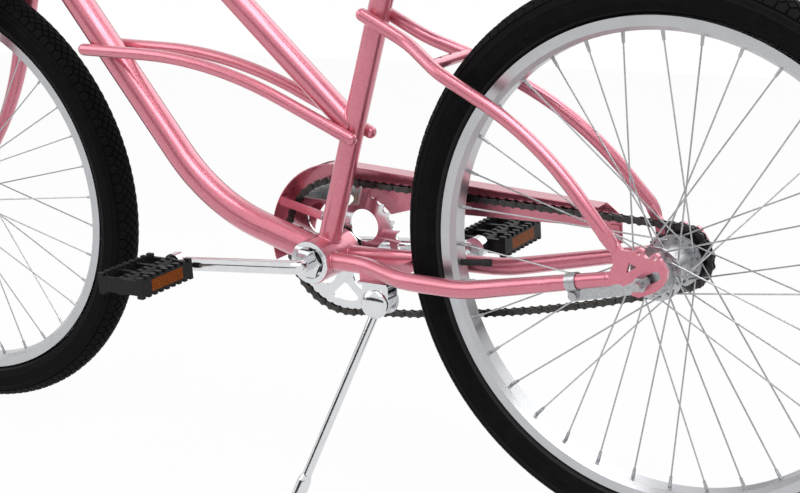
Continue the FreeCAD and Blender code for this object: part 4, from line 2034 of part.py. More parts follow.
def saddle_stations():
    """Each station's place along X, half width and height."""
    return [(SADDLE_BACK_X + SADDLE_LENGTH * along, SADDLE_WIDTH / 2 * width, SADDLE_THICKNESS * height)
            for along, width, height in SADDLE_STATION_SHARES]


def saddle_pan():
    """The pressed pan under the cushion."""
    sections = []
    for x, half, _ in saddle_stations():
        foot = half * SADDLE_FOOT_SHARE
        high = PAN_LOW_Z + SADDLE_PAN_THICKNESS
        corners = [vec(x, -foot, PAN_LOW_Z), vec(x, foot, PAN_LOW_Z), vec(x, foot, high), vec(x, -foot, high)]
        sections.append(Part.makePolygon(corners + corners[:1]))
    return Part.makeLoft(sections, True)


def saddle_cover():
    """The cushion: a crown over sides that draw in to the pan."""
    sections = []
    base = PAN_LOW_Z + SADDLE_PAN_THICKNESS
    for x, half, height in saddle_stations():
        foot = half * SADDLE_FOOT_SHARE
        shoulder_z = base + height * SADDLE_CROWN_SHARE
        shoulder = half * SADDLE_CROWN_SHARE
        side_z = base + height * SADDLE_CROWN_SHARE * SADDLE_SIDE_SHARE
        sections.append(Part.Wire([
            line_edge(vec(x, -foot, base), vec(x, foot, base)),
            arc_edge(vec(x, foot, base), vec(x, half, side_z), vec(x, shoulder, shoulder_z)),
            arc_edge(vec(x, shoulder, shoulder_z), vec(x, 0, base + height), vec(x, -shoulder, shoulder_z)),
            arc_edge(vec(x, -shoulder, shoulder_z), vec(x, -half, side_z), vec(x, -foot, base))]))
    return Part.makeLoft(sections, True)


# Parking stance and output

LEAN_LINE = vec(0, 0, -TYRE_CIRCLE_R)
GROUND_Z = -TYRE_CIRCLE_R - TYRE_SECTION_R
REAR_CONTACT = vec(0, 0, GROUND_Z)


def turned_vector(vector, axis, angle):
    return FreeCAD.Rotation(axis, angle).multVec(vector)


def parked_pitch():
    """The small nose-down angle that sets the steered front tyre on the ground."""
    centre = turned_vector(FRONT_HUB - STEER_FOOT, STEER_AXIS, PARKED_STEER) + STEER_FOOT
    centre = turned_vector(centre - LEAN_LINE, X_AXIS, -LEAN) + LEAN_LINE
    axle_line = turned_vector(turned_vector(Y_AXIS, STEER_AXIS, PARKED_STEER), X_AXIS, -LEAN)
    low = centre.z - TYRE_CIRCLE_R * math.sqrt(1 - axle_line.z ** 2) - TYRE_SECTION_R
    return math.degrees(math.atan2(low - GROUND_Z, centre.x))


PITCH = parked_pitch()


def parked_vector(vector, steered):
    """A direction on the upright bicycle, in its parked stance."""
    if steered:
        vector = turned_vector(vector, STEER_AXIS, PARKED_STEER)
    vector = turned_vector(vector, X_AXIS, -LEAN)
    return turned_vector(vector, Y_AXIS, PITCH)


def parked_point(point, steered):
    """A place on the upright bicycle, in its parked stance, with the rear wheel's foot kept."""
    if steered:
        point = turned_vector(point - STEER_FOOT, STEER_AXIS, PARKED_STEER) + STEER_FOOT
    point = turned_vector(point - LEAN_LINE, X_AXIS, -LEAN) + LEAN_LINE
    return turned_vector(point - REAR_CONTACT, Y_AXIS, PITCH) + REAR_CONTACT


def parked(shape, steered):
    if steered:
        shape.rotate(STEER_FOOT, STEER_AXIS, PARKED_STEER)
    shape.rotate(LEAN_LINE, X_AXIS, -LEAN)
    shape.rotate(REAR_CONTACT, Y_AXIS, PITCH)
    return shape


def at_front(shape):
    shape.translate(FRONT_HUB)
    return shape


def together(*shapes):
    """Several shapes as one node, each solid still its own."""
    return group([solid for shape in shapes for solid in shape.Solids])


def rear_axle():
    """The rear axle with its spacer and its two nuts."""
    nuts = axle_nuts(REAR_AXLE_D, HUB_SPACING / 2 + DROPOUT_THICKNESS, REAR_NUT_WIDTH, REAR_NUT_HEIGHT)
    return together(axle(REAR_AXLE_D, HUB_SPACING / 2 + REAR_AXLE_OVERHANG), axle_spacer(), nuts)


def front_axle():
    """The front axle with its two cones and its two nuts."""
    nuts = axle_nuts(FRONT_AXLE_D, FRONT_HUB_SPACING / 2 + FORK_END_THICKNESS, FRONT_NUT_WIDTH,
                     FRONT_NUT_HEIGHT)
    return together(axle(FRONT_AXLE_D, FRONT_HUB_SPACING / 2 + FRONT_AXLE_OVERHANG), front_cones(), nuts)


def frame_nodes():
    nodes = {
        "head_tube": head_tube(), "down_tube": down_tube(), "top_tube": top_tube(),
        "seat_tube": seat_tube(), "twin_tubes": twin_tubes(), "bottom_bracket_shell": bottom_bracket_shell(),
        "stay_bridge": stay_bridge(), "seat_clamp": seat_clamp(),
        "headset_cups": headset_cups(), "bracket_cups": bracket_cups(),
        "chainguard": chainguard(), "chainguard_brackets": guard_brackets(),
        "chain_inner_links": chain_links(inner_link(), 0), "chain_outer_links": chain_links(outer_link(), 1),
        "brake_arm": brake_arm(), "brake_clip": together(brake_clip(), brake_clip_bolt()),
        "coaster_brake": together(brake_shoes(), brake_expander()), "rear_axle": rear_axle(),
        "kickstand_plate": stand_plate(), "kickstand_bracket": together(stand_bracket(), stand_pin())}
    for name, shape in (("chainstay", chainstay()), ("seatstay", seatstay()), ("dropout", dropout())):
        nodes[name + "_left"], nodes[name + "_right"] = both_sides(shape)
    return nodes


def moving_nodes():
    """Everything that turns or slides on the frame, the front end apart."""
    nodes = {
        "seatpost": seatpost(), "saddle_clamp": saddle_clamp(), "saddle_rails": saddle_rails(),
        "saddle_springs": saddle_springs(), "saddle_pan": saddle_pan(), "saddle_cover": saddle_cover(),
        "crank": crank(), "chainring": chainring(), "crank_cones": bracket_cones(), "pedal_axles": pedal_axles(),
        "rear_cog": rear_cog(), "hub_driver": hub_driver(), "kickstand_leg": stand_leg(),
        "rear_tyre": tyre(), "rear_inner_tube": wheel_inner_tube(), "rear_rim": rim(),
        "rear_spokes": spokes(REAR_FLANGE_D, REAR_FLANGE_Y, REAR_FLANGE_THICKNESS),
        "rear_hub_shell": rear_hub_shell()}
    for side in ("left", "right"):
        nodes["pedal_" + side] = pedal_place(pedal_body(), side == "left")
        nodes["pedal_reflectors_" + side] = pedal_place(group([reflector(1), reflector(-1)]), side == "left")
    return nodes


def steered_nodes():
    return {
        "fork_steerer": together(steerer(), headset_races()), "fork_crown": fork_crown(),
        "fork_blades": together(*both_sides(fork_blade()), *both_sides(fork_end())), "stem": stem(),
        "handlebar": handlebar(), "grips": together(*both_sides(grip())), "front_axle": at_front(front_axle()),
        "front_tyre": at_front(tyre()), "front_inner_tube": at_front(wheel_inner_tube()),
        "front_rim": at_front(rim()), "front_hub_shell": at_front(front_hub_shell()),
        "front_spokes": at_front(spokes(FRONT_FLANGE_D, FRONT_FLANGE_Y, FRONT_FLANGE_THICKNESS))}


def level_foot(leg):
    """The kickstand's leg, cut off where it meets the ground."""
    box = leg.BoundBox
    below = Part.makeBox(2 * box.XLength, 2 * box.YLength, box.ZLength,
                         vec(box.XMin - box.XLength / 2, box.YMin - box.YLength / 2, GROUND_Z - box.ZLength))
    return leg.cut(below)


def parked_nodes():
    nodes = {}
    for shapes, steered in ((frame_nodes(), False), (moving_nodes(), False), (steered_nodes(), True)):
        for name, shape in shapes.items():
            nodes[name] = parked(shape, steered)
    nodes["kickstand_leg"] = level_foot(nodes["kickstand_leg"])
    return nodes


OUTERMOST_NODES = ("rear_tyre", "front_tyre", "pedal_left", "pedal_right", "grips", "handlebar", "stem",
                   "saddle_cover")


def ground_origin(nodes):
    """The middle of the bicycle's box, on the ground."""
    boxes = [nodes[name].optimalBoundingBox(False) for name in OUTERMOST_NODES]
    middle_x = (min(box.XMin for box in boxes) + max(box.XMax for box in boxes)) / 2
    middle_y = (min(box.YMin for box in boxes) + max(box.YMax for box in boxes)) / 2
    return vec(middle_x, middle_y, GROUND_Z)


def main():
    nodes = parked_nodes()
    origin = ground_origin(nodes)
    os.makedirs("parts", exist_ok=True)
    for name, shape in nodes.items():
        shape.translate(origin * -1)
        shape.exportStep("parts/" + name + ".step")
    print("spring curls clear each other by", round(spring_gap(), 2), "mm")


if __name__ == "__main__":
    main()
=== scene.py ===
import json
import math

import bmesh
import bpy
from mathutils import Matrix, Vector


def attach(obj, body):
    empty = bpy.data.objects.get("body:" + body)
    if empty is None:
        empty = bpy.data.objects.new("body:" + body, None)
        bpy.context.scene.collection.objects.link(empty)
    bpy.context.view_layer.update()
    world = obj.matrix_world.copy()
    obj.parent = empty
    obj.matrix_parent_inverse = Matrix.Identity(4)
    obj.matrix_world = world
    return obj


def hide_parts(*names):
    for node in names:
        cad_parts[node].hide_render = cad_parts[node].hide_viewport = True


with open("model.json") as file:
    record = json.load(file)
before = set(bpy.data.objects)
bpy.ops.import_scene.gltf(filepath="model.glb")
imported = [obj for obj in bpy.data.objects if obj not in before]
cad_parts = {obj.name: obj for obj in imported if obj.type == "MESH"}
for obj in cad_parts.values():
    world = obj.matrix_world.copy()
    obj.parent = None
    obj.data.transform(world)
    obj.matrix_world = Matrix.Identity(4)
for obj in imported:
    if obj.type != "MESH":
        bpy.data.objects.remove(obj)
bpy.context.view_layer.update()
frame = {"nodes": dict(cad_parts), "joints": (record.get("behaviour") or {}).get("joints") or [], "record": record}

bl_info = {
    "name": "Beach cruiser bicycle",
    "version": (1, 0, 0),
    "blender": (4, 5, 0),
    "location": "3D View > Sidebar > Cruiser",
    "description": "Dresses the packed cruiser bicycle with tyres, stays, padding, fasteners and finishes",
    "category": "Object",
}

JOINTS = {joint["name"]: joint for joint in frame["joints"]}


class CruiserSizes(bpy.types.PropertyGroup):
    """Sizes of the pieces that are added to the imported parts."""

    tread_pitch_count: bpy.props.IntProperty(
        name="Tread blocks", description="Tread blocks in each row round a tyre", default=150, min=40)
    tread_depth: bpy.props.FloatProperty(
        name="Tread depth", description="Depth of the grooves in the tread", default=0.0018,
        unit="LENGTH", precision=4)
    tread_groove: bpy.props.FloatProperty(
        name="Tread groove", description="Half the width of a groove between two blocks",
        default=0.001, unit="LENGTH", precision=5)
    tyre_radius: bpy.props.FloatProperty(
        name="Tyre circle", description="Radius of the circle through the middle of the tyre's section",
        default=0.308, unit="LENGTH")
    tyre_section: bpy.props.FloatProperty(
        name="Tyre section", description="Radius of the tyre's round section", default=0.0273,
        unit="LENGTH", precision=4)
    cover_swell: bpy.props.FloatProperty(
        name="Cover swell", description="Most that the saddle's padding may swell", default=0.005,
        unit="LENGTH", precision=4)
    camera_place: bpy.props.FloatVectorProperty(
        name="Camera place", description="Where the photograph was taken from",
        default=(-1.2765, 1.5496, 0.6781), subtype="TRANSLATION", unit="LENGTH")
    camera_turn: bpy.props.FloatVectorProperty(
        name="Camera turn", description="How the camera was turned",
        default=(math.radians(79.542), math.radians(-0.108), math.radians(-146.976)),
        subtype="EULER", unit="ROTATION")
    camera_lens: bpy.props.FloatProperty(
        name="Lens", description="Focal length on a sensor 36 mm wide", default=71.47, unit="CAMERA")


class CruiserColours(bpy.types.PropertyGroup):
    """Colours of the finishes."""

    paint: bpy.props.FloatVectorProperty(
        name="Paint", description="Metallic pink of the frame, the fork and the guard",
        default=(0.53, 0.125, 0.175), subtype="COLOR", min=0, max=1)
    paint_flake: bpy.props.FloatVectorProperty(
        name="Paint flake", description="Colour of the bright flakes in the paint",
        default=(0.76, 0.25, 0.33), subtype="COLOR", min=0, max=1)
    chrome: bpy.props.FloatVectorProperty(
        name="Chrome", description="Chrome plate of crank, bar and stand",
        default=(0.74, 0.75, 0.77), subtype="COLOR", min=0, max=1)
    alloy: bpy.props.FloatVectorProperty(
        name="Alloy", description="Bright satin alloy of the rims and hubs",
        default=(0.56, 0.57, 0.59), subtype="COLOR", min=0, max=1)
    zinc: bpy.props.FloatVectorProperty(
        name="Zinc", description="Zinc plate of the small steel parts",
        default=(0.46, 0.465, 0.48), subtype="COLOR", min=0, max=1)
    dark_steel: bpy.props.FloatVectorProperty(
        name="Dark steel", description="Oiled dark steel of the chain and the cog",
        default=(0.055, 0.052, 0.05), subtype="COLOR", min=0, max=1)
    tyre: bpy.props.FloatVectorProperty(
        name="Tyre rubber", description="Black rubber of the tyres",
        default=(0.0045, 0.0045, 0.005), subtype="COLOR", min=0, max=1)
    rubber: bpy.props.FloatVectorProperty(
        name="Soft rubber", description="Black rubber of the grips and the foot of the stand",
        default=(0.016, 0.016, 0.017), subtype="COLOR", min=0, max=1)
    plastic: bpy.props.FloatVectorProperty(
        name="Plastic", description="Moulded black plastic of the pedals",
        default=(0.009, 0.009, 0.010), subtype="COLOR", min=0, max=1)
    amber: bpy.props.FloatVectorProperty(
        name="Amber", description="Amber of the pedal reflectors",
        default=(0.33, 0.075, 0.002), subtype="COLOR", min=0, max=1)
    vinyl: bpy.props.FloatVectorProperty(
        name="Vinyl", description="Grained black cover of the saddle",
        default=(0.018, 0.017, 0.017), subtype="COLOR", min=0, max=1)
    floor: bpy.props.FloatVectorProperty(
        name="Floor", description="Pale floor and background",
        default=(1.0, 1.0, 1.0), subtype="COLOR", min=0, max=1)


# ---------------------------------------------------------------- node helpers

def new_finish(name):
    """A new material with its shader, ready for its texture nodes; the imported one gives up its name."""
    packed = bpy.data.materials.get(name)
    if packed:
        packed.name = "packed_" + name
    finish = bpy.data.materials.new(name)
    finish.use_nodes = True
    shader = finish.node_tree.nodes["Principled BSDF"]
    return finish, finish.node_tree, shader


def set_sockets(shader, **values):
    for key, value in values.items():
        shader.inputs[key.replace("_", " ")].default_value = value


def object_place(tree, scale=(1, 1, 1)):
    """Object coordinates, stretched by a Mapping node."""
    place = tree.nodes.new("ShaderNodeTexCoord")
    mapping = tree.nodes.new("ShaderNodeMapping")
    mapping.inputs["Scale"].default_value = scale
    tree.links.new(place.outputs["Object"], mapping.inputs["Vector"])
    return mapping.outputs["Vector"]


def noise(tree, place, scale, detail=2.0):
    node = tree.nodes.new("ShaderNodeTexNoise")
    node.inputs["Scale"].default_value = scale
    node.inputs["Detail"].default_value = detail
    tree.links.new(place, node.inputs["Vector"])
    return node.outputs["Fac"]


def voronoi(tree, place, scale, output="Color"):
    node = tree.nodes.new("ShaderNodeTexVoronoi")
    node.inputs["Scale"].default_value = scale
    tree.links.new(place, node.inputs["Vector"])
    return node.outputs[output]


def spread(tree, value, low, high, out_low=0.0, out_high=1.0):
    """Maps a value from one range to another."""
    node = tree.nodes.new("ShaderNodeMapRange")
    for key, number in zip(("From Min", "From Max", "To Min", "To Max"), (low, high, out_low, out_high)):
        node.inputs[key].default_value = number
    tree.links.new(value, node.inputs["Value"])
    return node.outputs["Result"]


def colour_by(tree, shader, share, first, second):
    """Colours a finish between two colours, by a share from nothing to one."""
    node = tree.nodes.new("ShaderNodeMix")
    node.data_type = "RGBA"
    tree.links.new(share, node.inputs["Factor"])
    node.inputs[6].default_value = (*first, 1)
    node.inputs[7].default_value = (*second, 1)
    tree.links.new(node.outputs[2], shader.inputs["Base Color"])


def roughness_by(tree, shader, value, low, high, smoothest, roughest):
    """Makes a finish smoother or rougher with a value's place between two limits."""
    tree.links.new(spread(tree, value, low, high, smoothest, roughest), shader.inputs["Roughness"])


def bumped(tree, shader, height, strength, distance):
    node = tree.nodes.new("ShaderNodeBump")
    node.inputs["Strength"].default_value = strength
    node.inputs["Distance"].default_value = distance
    tree.links.new(height, node.inputs["Height"])
    tree.links.new(node.outputs["Normal"], shader.inputs["Normal"])


def scaled(colour, factor):
    return tuple(min(1.0, channel * factor) for channel in colour)


# ---------------------------------------------------------------- finishes

def paint_finish(colours):
    """Metallic pink under a clear coat: fine flakes and a faint ripple."""
    _, tree, shader = new_finish("pink_paint")
    place = object_place(tree)
    share = spread(tree, voronoi(tree, place, 2600.0), 0.2, 0.9)
    colour_by(tree, shader, share, tuple(colours.paint), tuple(colours.paint_flake))
    drift = noise(tree, place, 26.0)
    roughness_by(tree, shader, drift, 0.3, 0.7, 0.26, 0.36)
    set_sockets(shader, Metallic=0.6, Coat_Weight=0.9, Coat_Roughness=0.05)
    bumped(tree, shader, noise(tree, place, 420.0, 3.0), 0.03, 0.0004)


def chrome_finish(colours):
    """Bright plate with soft blotches and fine polishing marks."""
    _, tree, shader = new_finish("chrome_plate")
    place = object_place(tree)
    colour_by(tree, shader, noise(tree, place, 90.0, 4.0), tuple(colours.chrome), scaled(colours.chrome, 0.86))
    marks = noise(tree, object_place(tree, (1, 1, 14)), 700.0, 3.0)
    roughness_by(tree, shader, marks, 0.3, 0.8, 0.07, 0.20)
    set_sockets(shader, Metallic=1.0)
    bumped(tree, shader, noise(tree, place, 240.0), 0.05, 0.0004)


def zinc_finish(colours):
    """Grey zinc plate with its faint crystals."""
    _, tree, shader = new_finish("zinc_steel")
    place = object_place(tree)
    crystal = voronoi(tree, place, 420.0)
    colour_by(tree, shader, crystal, scaled(colours.zinc, 0.82), scaled(colours.zinc, 1.12))
    roughness_by(tree, shader, noise(tree, place, 300.0, 4.0), 0.3, 0.7, 0.26, 0.42)
    set_sockets(shader, Metallic=1.0)
    bumped(tree, shader, noise(tree, place, 900.0, 3.0), 0.08, 0.0003)


def alloy_finish(colours):
    """Satin alloy, with fine turning marks and a cloudy oxide."""
    _, tree, shader = new_finish("bright_alloy")
    place = object_place(tree)
    cloud = noise(tree, place, 34.0, 5.0)
    colour_by(tree, shader, cloud, tuple(colours.alloy), scaled(colours.alloy, 0.84))
    grain = noise(tree, place, 1500.0, 2.0)
    roughness_by(tree, shader, grain, 0.3, 0.7, 0.26, 0.38)
    set_sockets(shader, Metallic=0.9)
    bumped(tree, shader, grain, 0.06, 0.0002)


def dark_steel_finish(colours):
    """Oiled dark steel, cloudy where the oil lies."""
    _, tree, shader = new_finish("dark_steel")
    place = object_place(tree)
    oil = noise(tree, place, 260.0, 4.0)
    colour_by(tree, shader, oil, scaled(colours.dark_steel, 0.6), scaled(colours.dark_steel, 1.8))
    roughness_by(tree, shader, oil, 0.3, 0.7, 0.24, 0.46)
    set_sockets(shader, Metallic=0.9)
    bumped(tree, shader, noise(tree, place, 1100.0, 3.0), 0.10, 0.0003)


def tyre_finish(colours):
    """Black tyre rubber: a fine mould grain, and a little grey dust."""
    _, tree, shader = new_finish("tyre_rubber")
    place = object_place(tree)
    dust = noise(tree, place, 60.0, 6.0)
    colour_by(tree, shader, spread(tree, dust, 0.45, 0.80), tuple(colours.tyre), scaled(colours.tyre, 1.9))
    roughness_by(tree, shader, dust, 0.3, 0.7, 0.56, 0.72)
    set_sockets(shader, Specular_IOR_Level=0.05)
    bumped(tree, shader, noise(tree, place, 1700.0, 3.0), 0.18, 0.0003)


def rubber_finish(colours):
    """Soft black rubber with a moulded grain."""
    _, tree, shader = new_finish("black_rubber")
    place = object_place(tree)
    colour_by(tree, shader, noise(tree, place, 80.0, 5.0), tuple(colours.rubber), scaled(colours.rubber, 1.7))
    cells = voronoi(tree, place, 900.0, "Distance")
    roughness_by(tree, shader, cells, 0.0, 0.7, 0.50, 0.68)
    set_sockets(shader, Specular_IOR_Level=0.25)
    bumped(tree, shader, cells, 0.16, 0.0003)


def plastic_finish(colours):
    """Moulded black plastic: a spark-eroded grain, scuffed lighter in places."""
    _, tree, shader = new_finish("black_plastic")
    place = object_place(tree)
    scuff = spread(tree, noise(tree, place, 140.0, 8.0), 0.58, 0.78)
    colour_by(tree, shader, scuff, tuple(colours.plastic), scaled(colours.plastic, 3.2))
    grain = noise(tree, place, 1400.0, 2.0)
    roughness_by(tree, shader, grain, 0.3, 0.7, 0.34, 0.50)
    set_sockets(shader, Specular_IOR_Level=0.18)
    bumped(tree, shader, grain, 0.22, 0.0003)


def amber_finish(colours):
    """Amber reflector with small prism cells."""
    _, tree, shader = new_finish("amber_plastic")
    place = object_place(tree)
    cells = voronoi(tree, place, 560.0, "Distance")
    colour_by(tree, shader, spread(tree, cells, 0.1, 0.6), tuple(colours.amber), scaled(colours.amber, 0.45))
    roughness_by(tree, shader, cells, 0.0, 0.7, 0.10, 0.26)
    set_sockets(shader, Specular_IOR_Level=0.08)
    bumped(tree, shader, cells, 0.5, 0.0006)


def vinyl_finish(colours):
    """Grained black vinyl: leather-like cells with fine creases."""
    _, tree, shader = new_finish("saddle_vinyl")
    place = object_place(tree)
    cells = voronoi(tree, place, 620.0, "Distance")
    colour_by(tree, shader, spread(tree, cells, 0.1, 0.7), scaled(colours.vinyl, 1.6), tuple(colours.vinyl))
    roughness_by(tree, shader, noise(tree, place, 50.0, 4.0), 0.3, 0.7, 0.36, 0.50)
    bumped(tree, shader, cells, 0.35, 0.0005)


FINISHES = {
    "pink_paint": paint_finish,
    "chrome_plate": chrome_finish,
    "zinc_steel": zinc_finish,
    "bright_alloy": alloy_finish,
    "dark_steel": dark_steel_finish,
    "tyre_rubber": tyre_finish,
    "black_rubber": rubber_finish,
    "black_plastic": plastic_finish,
    "amber_plastic": amber_finish,
    "saddle_vinyl": vinyl_finish,
}


def finish_of(slot):
    return bpy.data.materials[slot]


def finished_piece(name, mesh_maker, body, slot):
    """Makes a mesh object from a bmesh, gives it its finish and puts it on its body."""
    mesh = bpy.data.meshes.new(name)
    mesh_maker.to_mesh(mesh)
    mesh_maker.free()
    piece = bpy.data.objects.new(name, mesh)
    bpy.context.scene.collection.objects.link(piece)
    mesh.materials.append(finish_of(slot))
    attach(piece, body)
    return piece


def shade_smooth_by_angle(mesh, degrees):
    """Smooth faces, with the edges past the angle kept sharp."""
    mesh.shade_smooth()
    mesh.set_sharp_from_angle(angle=math.radians(degrees))


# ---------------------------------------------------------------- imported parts

JOIN_DISTANCE = 1e-6
SMOOTH_ANGLE = math.radians(32)


def smoothing_group():
    """Geometry nodes that join a part's loose triangles and smooth its curved faces."""
    group = bpy.data.node_groups.new("smooth_curved_faces", "GeometryNodeTree")
    group.interface.new_socket("Geometry", in_out="INPUT", socket_type="NodeSocketGeometry")
    group.interface.new_socket("Geometry", in_out="OUTPUT", socket_type="NodeSocketGeometry")
    start = group.nodes.new("NodeGroupInput")
    end = group.nodes.new("NodeGroupOutput")
    join = group.nodes.new("GeometryNodeMergeByDistance")
    join.inputs["Distance"].default_value = JOIN_DISTANCE
    faces = group.nodes.new("GeometryNodeSetShadeSmooth")
    edges = group.nodes.new("GeometryNodeSetShadeSmooth")
    edges.domain = "EDGE"
    angle = group.nodes.new("GeometryNodeInputMeshEdgeAngle")
    gentle = group.nodes.new("FunctionNodeCompare")
    gentle.operation = "LESS_THAN"
    gentle.inputs[1].default_value = SMOOTH_ANGLE
    group.links.new(start.outputs[0], join.inputs["Geometry"])
    group.links.new(join.outputs["Geometry"], faces.inputs["Geometry"])
    group.links.new(faces.outputs["Geometry"], edges.inputs["Geometry"])
    group.links.new(angle.outputs["Unsigned Angle"], gentle.inputs[0])
    group.links.new(gentle.outputs["Result"], edges.inputs["Shade Smooth"])
    group.links.new(edges.outputs["Geometry"], end.inputs[0])
    return group


class CRUISER_OT_finishes(bpy.types.Operator):
    """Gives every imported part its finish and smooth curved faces"""

    bl_idname = "cruiser.finishes"
    bl_label = "Finish the packed parts"

    def execute(self, context):
        colours = context.scene.cruiser_colours
        for maker in FINISHES.values():
            maker(colours)
        group = smoothing_group()
        for part in frame["record"]["subparts"]:
            node = frame["nodes"][part["node"]]
            node.data.materials.clear()
            node.data.materials.append(finish_of(part["material_slot"]))
            smooth = node.modifiers.new("smooth_curved_faces", "NODES")
            smooth.node_group = group
            weigh = node.modifiers.new("weigh_by_area", "WEIGHTED_NORMAL")
            weigh.keep_sharp = True
        return {"FINISHED"}


# ---------------------------------------------------------------- tyres

TREAD_ROWS = 3
ROW_SLACK = 1.0
TYRE_SHARP = 35
TREAD_ROW_ANGLE = 12.5
LUG_EDGE_ANGLE = 57.0
SIDEWALL_SHARES = ((63, 0.0), (70, 0.0), (76, 0.0), (77.5, 0.02), (79, 0.0), (87, 0.0), (96, 0.0),
                   (105, 0.0), (106.5, 0.018), (108, 0.0), (116, 0.0), (124, -0.01), (131, -0.02))
INNER_ANGLES = (128, 100, 70, 40, 0)
INNER_SHARE = 0.86


def wheel_place(joint):
    """Takes a wheel made round Z to its hub."""
    axis = Vector(joint["axis"]).normalized()
    turn = Vector((0, 0, 1)).rotation_difference(axis).to_matrix().to_4x4()
    return Matrix.Translation(Vector(joint["pos_m"])) @ turn


def tyre_outline(sizes):
    """Angle, section radius and half steps of twist of each point, from bead to bead and back inside."""
    base = sizes.tyre_section - sizes.tread_depth
    tread = [(row * TREAD_ROW_ANGLE, base, row % 2) for row in range(-TREAD_ROWS, TREAD_ROWS + 1)]
    twist = TREAD_ROWS % 2
    side = [(LUG_EDGE_ANGLE, base, twist)]
    side += [(angle, sizes.tyre_section * (1 + lift), twist) for angle, lift in SIDEWALL_SHARES]
    inner = [(angle, sizes.tyre_section * INNER_SHARE, twist) for angle in INNER_ANGLES]
    other = [(-angle, radius, twist) for angle, radius, twist in reversed(side)]
    inner_other = [(-angle, radius, twist) for angle, radius, twist in reversed(inner[:-1])]
    return other + tread + side + inner + inner_other


def section_angle(vert, sizes):
    """A point's angle round the tyre's section, from the middle of the tread."""
    out = math.hypot(vert.co.x, vert.co.y) - sizes.tyre_radius
    return math.degrees(math.atan2(vert.co.z, out))


def section_radius(vert, sizes):
    """A point's distance from the middle of the tyre's section."""
    out = math.hypot(vert.co.x, vert.co.y) - sizes.tyre_radius
    return math.hypot(vert.co.z, out)


def on_row(edge, sizes):
    """Whether an edge lies along one of the rows of the tread."""
    first, second = (section_angle(vert, sizes) for vert in edge.verts)
    return abs(first - second) < ROW_SLACK and abs(first) < TREAD_ROWS * TREAD_ROW_ANGLE + ROW_SLACK


def tyre_mesh(sizes):
    """A tyre round Z: diamond blocks, shoulder lugs and ribbed sidewalls."""
    step = 2 * math.pi / sizes.tread_pitch_count
    mesh = bmesh.new()
    points = []
    for angle, radius, twist in tyre_outline(sizes):
        out = sizes.tyre_radius + radius * math.cos(math.radians(angle))
        turn = step / 2 * twist
        high = radius * math.sin(math.radians(angle))
        points.append(mesh.verts.new((out * math.cos(turn), out * math.sin(turn), high)))
    line = [mesh.edges.new(pair) for pair in zip(points, points[1:] + points[:1])]
    bmesh.ops.spin(mesh, geom=points + line, cent=(0, 0, 0), axis=(0, 0, 1), angle=2 * math.pi,
                   steps=sizes.tread_pitch_count, use_merge=True)
    bmesh.ops.remove_doubles(mesh, verts=mesh.verts, dist=JOIN_DISTANCE)
    bmesh.ops.recalc_face_normals(mesh, faces=mesh.faces)
    outside = sizes.tyre_section * (1 + INNER_SHARE) / 2
    limit = TREAD_ROWS * TREAD_ROW_ANGLE + ROW_SLACK

    def within(face, edge_angle):
        return all(abs(section_angle(vert, sizes)) < edge_angle and section_radius(vert, sizes) > outside
                   for vert in face.verts)

    middle = [face for face in mesh.faces if within(face, limit)]
    bmesh.ops.triangulate(mesh, faces=middle, quad_method="SHORT_EDGE")
    rows = [edge for edge in mesh.edges if on_row(edge, sizes) and section_radius(edge.verts[0], sizes) > outside]
    bmesh.ops.dissolve_edges(mesh, edges=rows, use_verts=False)
    blocks = [face for face in mesh.faces if within(face, LUG_EDGE_ANGLE + ROW_SLACK)]
    bmesh.ops.inset_individual(mesh, faces=blocks, thickness=sizes.tread_groove, depth=sizes.tread_depth,
                               use_even_offset=True)
    return mesh


class CRUISER_OT_tyres(bpy.types.Operator):
    """Makes the two tyres with their tread"""

    bl_idname = "cruiser.tyres"
    bl_label = "Tyres"

    def execute(self, context):
        sizes = context.scene.cruiser_sizes
        for end in ("front", "rear"):
            mesh = tyre_mesh(sizes)
            bmesh.ops.transform(mesh, matrix=wheel_place(JOINTS[end + "_wheel_spin"]), verts=mesh.verts)
            tyre = finished_piece(end + "_tyre_tread", mesh, end + "_wheel", "tyre_rubber")
            shade_smooth_by_angle(tyre.data, TYRE_SHARP)
            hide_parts(end + "_tyre")
        return {"FINISHED"}


# ---------------------------------------------------------------- saddle

COVER_JOIN = 1e-5
COVER_VOXEL = 0.005
COVER_PRESSURE = 4.0
COVER_FRAMES = 20
PINNED_SLOPE = -0.55


def swollen(cover, most):
    """Blows the cover up as filled cloth, held at its flat underside, and caps each point's move."""
    pinned = cover.vertex_groups.new(name="underside")
    under = [vert.index for vert in cover.data.vertices if vert.normal.z < PINNED_SLOPE]
    pinned.add(under, 1.0, "REPLACE")
    cloth = cover.modifiers.new("padding", "CLOTH")
    cloth.settings.use_pressure = True
    cloth.settings.uniform_pressure_force = COVER_PRESSURE
    cloth.settings.vertex_group_mass = "underside"
    cloth.settings.effector_weights.gravity = 0
    cloth.point_cache.frame_start = 1
    cloth.point_cache.frame_end = COVER_FRAMES
    scene = bpy.context.scene
    for step in range(1, COVER_FRAMES + 1):
        scene.frame_set(step)
    graph = bpy.context.evaluated_depsgraph_get()
    filled = cover.evaluated_get(graph).to_mesh()
    moves = [point.co - vert.co for point, vert in zip(filled.vertices, cover.data.vertices)]
    cover.modifiers.remove(cloth)
    scene.frame_set(1)
    for vert, move in zip(cover.data.vertices, moves):
        vert.co += move * min(1.0, most / max(move.length, JOIN_DISTANCE))
    cover.vertex_groups.clear()


